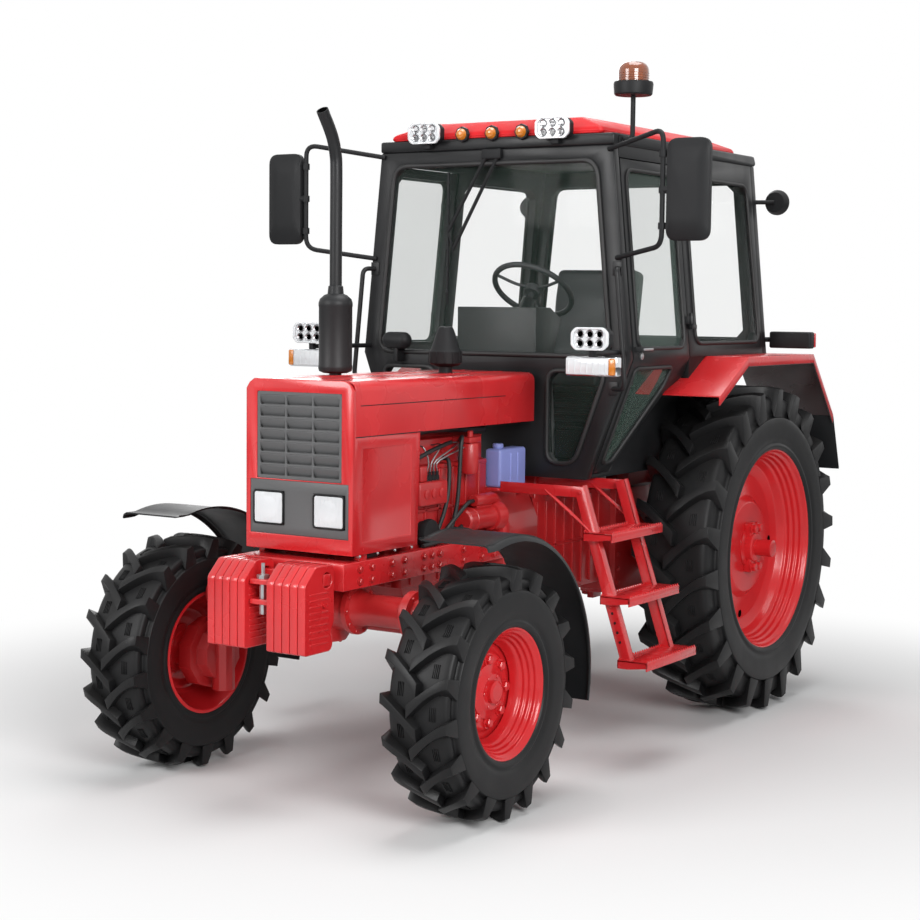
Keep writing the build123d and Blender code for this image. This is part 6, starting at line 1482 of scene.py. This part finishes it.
def add_led_lamp(body, lens, cups, centre, size, depth):
    """Adds a work lamp that faces forward: a housing, an octagon lens and six bright cups."""
    wide, tall = size[0] / 2, size[1] / 2
    cut = 0.45 * tall
    outline = [(wide, tall - cut), (wide - cut, tall), (cut - wide, tall), (-wide, tall - cut),
               (-wide, cut - tall), (cut - wide, -tall), (wide - cut, -tall), (wide, cut - tall)]
    x, y, z = centre
    rim = rounded(outline, 0.010)
    inside = rounded([(0.86 * a, 0.82 * b) for a, b in outline], 0.008)
    add_plate(lens, [rim, inside], 0.014, at(x, y + 0.007, z) @ ALONG_XZ, 0.003)
    add_plate(lens, [inside], 0.005, at(x, y + 0.0095, z) @ ALONG_XZ, 0.001)
    back = [(0.94 * p[0], 0.92 * p[1]) for p in rim]
    add_plate(body, [back], depth - 0.016, at(x, y + 0.008 + depth / 2, z) @ ALONG_XZ, 0.006)
    cup = 0.36 * tall
    bowl = [(0.006, 0.2 * cup), (0.005, 0.7 * cup), (0.0, cup), (0.005, 1.12 * cup)]
    for column in (-1, 0, 1):
        for row in (-0.5, 0.5):
            place = at(x + 0.52 * wide * column, y + 0.002, z + 0.80 * tall * row) @ ALONG_Y
            add_turned(cups, bowl, place, 18)


class TRACTOR_OT_lamps(bpy.types.Operator):
    """Makes headlamps, work lamps, turn lamps, markers, tail lamps and beacon"""

    bl_idname = "tractor.lamps"
    bl_label = "Lamps"

    def execute(self, context):
        cab = context.scene.tractor_cab
        self.headlamps()
        self.work_lamps(cab)
        self.turn_lamps()
        self.markers()
        self.tail_lamps(cab)
        self.beacon()
        return {"FINISHED"}

    def headlamps(self):
        low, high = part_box("headlamps")
        bezel, lens, inner = bmesh.new(), bmesh.new(), 0.072
        z, wide, tall = (low.z + high.z) / 2, (high.x - inner) / 2, (high.z - low.z) / 2
        square = [(wide, tall), (-wide, tall), (-wide, -tall), (wide, -tall)]
        rim, opening = rounded(square, 0.016), rounded([(0.92 * a, 0.91 * b) for a, b in square], 0.012)
        flute_y, flute_z = low.y + 0.0045, 0.82 * tall
        for sign in (1, -1):
            x = sign * (inner + high.x) / 2
            add_plate(bezel, [rim, opening], 0.012, at(x, low.y + 0.006, z) @ ALONG_XZ, 0.003)
            add_plate(lens, [opening], 0.010, at(x, low.y + 0.008, z) @ ALONG_XZ, 0.003)
            for k in range(-3, 4):
                flute = x + k * wide * 0.25
                add_tube(lens, [(flute, flute_y, z - flute_z), (flute, flute_y, z + flute_z)], 0.0022, 8)
            bulb = [(0.0, 0.020), (0.002, 0.045), (0.004, 0.047)]
            add_turned(lens, bulb, at(x, low.y + 0.001, z) @ ALONG_Y, 28)
        piece("headlamp_bezels", bezel, "chassis", "moulded_black")
        piece("headlamp_lenses", lens, "chassis", "lamp_lens", ["headlamps"])

    def work_lamps(self, cab):
        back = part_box("work_lamps")[1].y
        body, lens, cups = bmesh.new(), bmesh.new(), bmesh.new()
        roof_y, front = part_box("cab_top")[0].y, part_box("cab_front")[0].y
        arm_x, arm_y, arm_z = 0.730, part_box("turn_lamps")[0].y + 0.030, 1.762
        bowl = [(-0.022, 0.030), (-0.020, 0.050), (0.010, 0.063), (0.022, 0.063), (0.026, 0.056),
                (0.027, 0.02)]
        glass, tube, rear_z = [(0.0, 0.055), (0.003, 0.050), (0.006, 0.03)], 0.011, 2.485
        for sign in (1, -1):
            x = sign * 0.3375
            add_led_lamp(body, lens, cups, (x, roof_y - 0.060, 2.738), (0.172, 0.096), 0.060)
            add_box(body, (x - 0.02, roof_y - 0.035, 2.668), (x + 0.02, roof_y, 2.70), 0.004)
            x = sign * arm_x
            add_led_lamp(body, lens, cups, (x, arm_y - 0.035, 1.824), (0.176, 0.096), 0.070)
            line = [(sign * (cab_half(cab, arm_z) - 0.03), front, arm_z), (sign * 0.72, arm_y + 0.08, arm_z),
                    (x, arm_y, arm_z)]
            add_tube(body, rounded(line, 0.05, closed=False), tube, 12)
            add_box(body, (x - 0.012, arm_y - 0.012, 1.745), (x + 0.012, arm_y + 0.012, 1.79), 0.003)
            x = sign * 0.715
            add_turned(body, bowl, at(x, back - 0.028, rear_z) @ ALONG_Y, 28)
            line = [(sign * (cab_half(cab, rear_z) - 0.03), back - 0.085, rear_z),
                    (sign * 0.68, back - 0.055, rear_z), (x, back - 0.050, rear_z)]
            add_tube(body, line, tube, 12)
            add_turned(lens, glass, at(x, back - 0.003, rear_z) @ ALONG_Y, 28)
        piece("work_lamp_housings", body, "chassis", "moulded_black", ["work_lamps"])
        piece("work_lamp_lenses", lens, "chassis", "lamp_lens")
        piece("work_lamp_cups", cups, "chassis", "zinc")

    def turn_lamps(self):
        low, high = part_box("turn_lamps")
        body, lens, amber = bmesh.new(), bmesh.new(), bmesh.new()
        inner, edge, deep, flutes = 0.611, 0.006, low.y + 0.020, 7
        z0, z1, split = low.z, high.z, inner + 0.86 * (high.x - inner)
        for sign in (1, -1):
            x0, x1 = span(sign, inner, high.x)
            add_box(body, (x0, low.y + 0.016, z0), (x1, high.y, z1), 0.008)
            for bm, near, far in ((lens, inner + edge, split), (amber, split, high.x - edge)):
                x0, x1 = span(sign, near, far)
                add_box(bm, (x0, low.y, z0 + edge), (x1, deep, z1 - edge), edge)
            x0, x1 = span(sign, inner + edge, split)
            for k in range(flutes):
                x = x0 + 0.014 + k * (x1 - x0 - 0.028) / (flutes - 1)
                add_tube(lens, [(x, low.y + 0.001, z0 + 0.014), (x, low.y + 0.001, z1 - 0.014)], 0.003, 8)
        piece("turn_lamp_housings", body, "chassis", "mirror", ["turn_lamps"])
        piece("turn_lamp_white", lens, "chassis", "lamp_lens")
        piece("turn_lamp_amber", amber, "chassis", "amber_glass")

    def markers(self):
        low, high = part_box("marker_lamps")
        rings, domes = bmesh.new(), bmesh.new()
        z, y = (low.z + high.z) / 2, high.y
        pitch = (high.x - low.x) / 2 - 0.034
        for k in (-1, 0, 1):
            place = at(k * pitch, y, z) @ Matrix.Rotation(radians(-90), 4, "Z")
            add_turned(rings, [(0.0, 0.036), (0.014, 0.036), (0.017, 0.033), (0.017, 0.02)], place, 8)
            dome = [(0.012, 0.027), (0.024, 0.025), (0.034, 0.018), (0.038, 0.008)]
            add_turned(domes, dome, place, 28)
        piece("marker_rings", rings, "chassis", "moulded_black")
        piece("marker_domes", domes, "chassis", "amber_glass", ["marker_lamps"])

    def tail_lamps(self, cab):
        low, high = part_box("tail_lamps")
        body, red = bmesh.new(), bmesh.new()
        inner, z, back, edge = 0.700, (low.z + high.z) / 2, high.y, 0.006
        root, arm_y = cab_half(cab, z) - 0.023, back - 0.035
        for sign in (1, -1):
            x0, x1 = span(sign, inner, high.x - 0.004)
            add_box(body, (x0, back - 0.070, low.z), (x1, back - 0.010, high.z), 0.010)
            line = [(sign * root, low.y, z), (sign * root, arm_y, z), (sign * 0.72, arm_y, z)]
            add_tube(body, rounded(line, 0.02, closed=False), 0.013, 12)
            x0, x1 = span(sign, inner + edge, high.x)
            add_box(red, (x0, back - 0.014, low.z + edge), (x1, back, high.z - edge), 0.005)
        piece("tail_lamp_boxes", body, "chassis", "moulded_black", ["tail_lamps"])
        piece("tail_lamp_lenses", red, "chassis", "red_enamel")

    def beacon(self):
        low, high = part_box("beacon")
        x, y, seat, tube = high.x - 0.088, (low.y + high.y) / 2, high.z - 0.085, 0.011
        base, dome = bmesh.new(), bmesh.new()
        profile = [(seat - 0.058, 0.02), (seat - 0.058, 0.078), (seat - 0.052, 0.083), (seat - 0.010, 0.087),
                   (seat, 0.084), (seat, 0.06)]
        place = at(x, y, 0) @ UPRIGHT
        add_turned(base, profile, place, 40)
        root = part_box("cab_top")[1].x
        line = [(root, y, low.z + tube), (x, y, low.z + tube), (x, y, seat - 0.05)]
        add_tube(base, rounded(line, 0.03, closed=False), tube, 12)
        add_box(base, (root - 0.004, y - 0.03, low.z - 0.015), (root + 0.006, y + 0.03, low.z + 0.03), 0.003)
        piece("beacon_base", base, "chassis", "moulded_black", ["beacon"])
        arc = [pi / 2 * k / 7 for k in range(8)]
        cap = [(seat + 0.045 + 0.040 * sin(a), 0.030 + 0.037 * cos(a)) for a in arc]
        add_turned(dome, [(seat - 0.004, 0.066)] + cap + [(high.z, 0.008)], place, 40)
        for k in range(4):
            z = seat + 0.006 + 0.010 * k
            add_turned(dome, [(z + a, 0.0665 + b) for a, b in ring(6, 0.002)], place, 40, closed=True)
        piece("beacon_dome", dome, "chassis", "beacon_lens")


class TRACTOR_OT_mirrors(bpy.types.Operator):
    """Makes the mirrors on their tubular loops"""

    bl_idname = "tractor.mirrors"
    bl_label = "Mirrors"

    def execute(self, context):
        cab = context.scene.tractor_cab
        high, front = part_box("mirrors")[1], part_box("cab_front")[0].y
        y, post, inner, outer = front - 0.160, 0.932, 0.952, high.x
        z0, z1, tube = 2.235, 2.660, 0.011
        mid, top_z, low_z = (z0 + z1) / 2, z1 - 0.020, z0 - 0.065
        corners = [(inner, z0), (outer, z0), (outer, z1), (inner, z1)]
        line = [(cab_half(cab, top_z) - 0.023, front, top_z), (post, y, high.z - tube),
                (post, y, z0 - 0.020), (cab_half(cab, low_z) - 0.023, front, low_z)]
        shells, glass = bmesh.new(), bmesh.new()
        for sign in (1, -1):
            add_tube(shells, rounded([(sign * a, b, c) for a, b, c in line], 0.055, closed=False), tube, 14)
            add_tube(shells, [(sign * post, y, mid), (sign * (inner + 0.02), y, mid)], 0.016, 14)
            for z in (mid, mid - 0.15, mid + 0.15):
                add_tube(shells, [(sign * post, y, z - 0.014), (sign * post, y, z + 0.014)], 0.0165, 14)
            cx = sign * (inner + 0.35 * (outer - inner))
            rim = [(sign * p[0] - cx, p[1] - mid) for p in rounded(corners, 0.050)]
            rings = []
            for depth, share in ((0.022, 0.97), (0.016, 1.0), (-0.004, 1.0), (-0.014, 0.93), (-0.021, 0.55)):
                rings.append([(cx + a * share, y + depth, mid + b * share) for a, b in rim])
            add_skin(shells, rings)
            face = [(cx + a * 0.92, mid + b * 0.94) for a, b in rim]
            add_plate(glass, [face], 0.003, at(0, y + 0.0225, 0) @ ALONG_XZ, 0.001)
        piece("mirror_shells", shells, "chassis", "moulded_black", ["mirrors"], 40)
        piece("mirror_faces", glass, "chassis", "mirror")
        return {"FINISHED"}


# Stage


def view_frame(stage):
    """Right, up and forward of the camera."""
    yaw, pitch = stage.yaw, stage.pitch
    forward = Vector((sin(yaw) * cos(pitch), cos(yaw) * cos(pitch), -sin(pitch)))
    right = Vector((cos(yaw), -sin(yaw), 0))
    up = right.cross(forward)
    turned = right * cos(stage.roll) + up * sin(stage.roll)
    return turned, up * cos(stage.roll) - right * sin(stage.roll), forward


def add_light(name, place, aim, size, power):
    """A soft square lamp that shines at a point."""
    data = bpy.data.lights.new(name, "AREA")
    data.size = size
    data.energy = power
    lamp = bpy.data.objects.new(name, data)
    lamp.location = place
    lamp.rotation_euler = (Vector(aim) - Vector(place)).to_track_quat("-Z", "Y").to_euler()
    bpy.context.scene.collection.objects.link(lamp)


class TRACTOR_OT_stage(bpy.types.Operator):
    """Sets camera, floor, backdrop and lights"""

    bl_idname = "tractor.stage"
    bl_label = "Stage"

    def execute(self, context):
        scene, stage = context.scene, context.scene.tractor_stage
        data = bpy.data.cameras.new("camera")
        data.sensor_width = 36.0
        data.lens = stage.lens
        camera = bpy.data.objects.new("camera", data)
        right, up, forward = view_frame(stage)
        turn = Matrix((right, up, -forward)).transposed().to_4x4()
        camera.matrix_world = Matrix.Translation(stage.place) @ turn
        scene.collection.objects.link(camera)
        scene.camera = camera
        scene.view_settings.view_transform = "Standard"
        self.make_floor(stage)
        self.make_world(scene)
        add_light("key", (7.0, -6.0, 4.6), (0, -0.2, 1.2), 4.0, 650.0)
        add_light("top", (0.8, 0.2, 8.0), (0, 0, 0.5), 4.5, 330.0)
        add_light("fill", (-3.0, -9.0, 4.6), (0, -0.5, 1.2), 4.0, 450.0)
        add_light("back", (-5.0, 6.5, 5.5), (0, 0.5, 1.2), 4.0, 220.0)
        return {"FINISHED"}

    def make_floor(self, stage):
        half, level = stage.floor, CAD_BOX[0].z - 0.001
        bm = bmesh.new()
        corners = [(half * x, half * y, level) for x, y in ((-1, -1), (1, -1), (1, 1), (-1, 1))]
        add_faces(bm, corners, [(0, 1, 2, 3)])
        mesh = bpy.data.meshes.new("floor")
        bm.to_mesh(mesh)
        bm.free()
        floor = bpy.data.objects.new("floor", mesh)
        bpy.context.scene.collection.objects.link(floor)
        material = bpy.data.materials.new("studio_floor")
        material.use_nodes = True
        tree = material.node_tree
        shader = tree.nodes["Principled BSDF"]
        shader.inputs["Base Color"].default_value = (*stage.pale, 1)
        shader.inputs["Roughness"].default_value = 0.9
        shader.inputs["Specular IOR Level"].default_value = 0.1
        glow = tree.nodes.new("ShaderNodeEmission")
        glow.inputs["Strength"].default_value = 1.0
        length = tree.nodes.new("ShaderNodeVectorMath")
        length.operation = "LENGTH"
        tree.links.new(tree.nodes.new("ShaderNodeTexCoord").outputs["Object"], length.inputs[0])
        fade = add_range(tree, length.outputs["Value"], (1.9, 4.0), 0.0, 1.0)
        path = tree.nodes.new("ShaderNodeLightPath")
        seen = add_math(tree, "MULTIPLY", fade, path.outputs["Is Camera Ray"])
        add_either(tree, seen, shader, glow, tree.nodes["Material Output"])
        mesh.materials.append(material)

    def make_world(self, scene):
        world = bpy.data.worlds.new("studio")
        scene.world = world
        world.use_nodes = True
        tree = world.node_tree
        light = tree.nodes["Background"]
        light.inputs["Color"].default_value = (0.95, 0.97, 1.0, 1)
        light.inputs["Strength"].default_value = 0.12
        white = tree.nodes.new("ShaderNodeBackground")
        white.inputs["Color"].default_value = (1, 1, 1, 1)
        path = tree.nodes.new("ShaderNodeLightPath")
        seen = path.outputs["Is Camera Ray"]
        for label in ("Is Glossy Ray", "Is Transmission Ray"):
            seen = add_math(tree, "MAXIMUM", seen, path.outputs[label])
        add_either(tree, seen, light, white, tree.nodes["World Output"])


GROUPS = (TractorColours, TractorSizes, TractorCab, TractorStage)
PIECES = (
    TRACTOR_OT_finishes,
    TRACTOR_OT_wheels,
    TRACTOR_OT_eased_forms,
    TRACTOR_OT_hood,
    TRACTOR_OT_front_end,
    TRACTOR_OT_engine,
    TRACTOR_OT_cab,
    TRACTOR_OT_cab_inside,
    TRACTOR_OT_lamps,
    TRACTOR_OT_mirrors,
    TRACTOR_OT_ladders,
    TRACTOR_OT_rear_end,
    TRACTOR_OT_stage,
)


class TRACTOR_PT_dressing(bpy.types.Panel):
    """Lists the pieces of the tractor in the order in which they are made"""

    bl_idname = "TRACTOR_PT_dressing"
    bl_label = "Tractor"
    bl_space_type = "VIEW_3D"
    bl_region_type = "UI"
    bl_category = "Tractor"

    def draw(self, context):
        for operator in PIECES:
            self.layout.operator(operator.bl_idname)


def register():
    """Makes the classes known and gives the scene its settings."""
    for kind in (*GROUPS, *PIECES, TRACTOR_PT_dressing):
        bpy.utils.register_class(kind)
    bpy.types.Scene.tractor_colours = PointerProperty(type=TractorColours)
    bpy.types.Scene.tractor_sizes = PointerProperty(type=TractorSizes)
    bpy.types.Scene.tractor_cab = PointerProperty(type=TractorCab)
    bpy.types.Scene.tractor_stage = PointerProperty(type=TractorStage)


def unregister():
    """Takes the settings and classes away again."""
    del bpy.types.Scene.tractor_colours
    del bpy.types.Scene.tractor_sizes
    del bpy.types.Scene.tractor_cab
    del bpy.types.Scene.tractor_stage
    for kind in (TRACTOR_PT_dressing, *reversed(PIECES), *reversed(GROUPS)):
        bpy.utils.unregister_class(kind)


def main():
    """Dresses the tractor."""
    register()
    for operator in PIECES:
        group, name = operator.bl_idname.split(".")
        getattr(getattr(bpy.ops, group), name)()


if __name__ == "__main__":
    main()
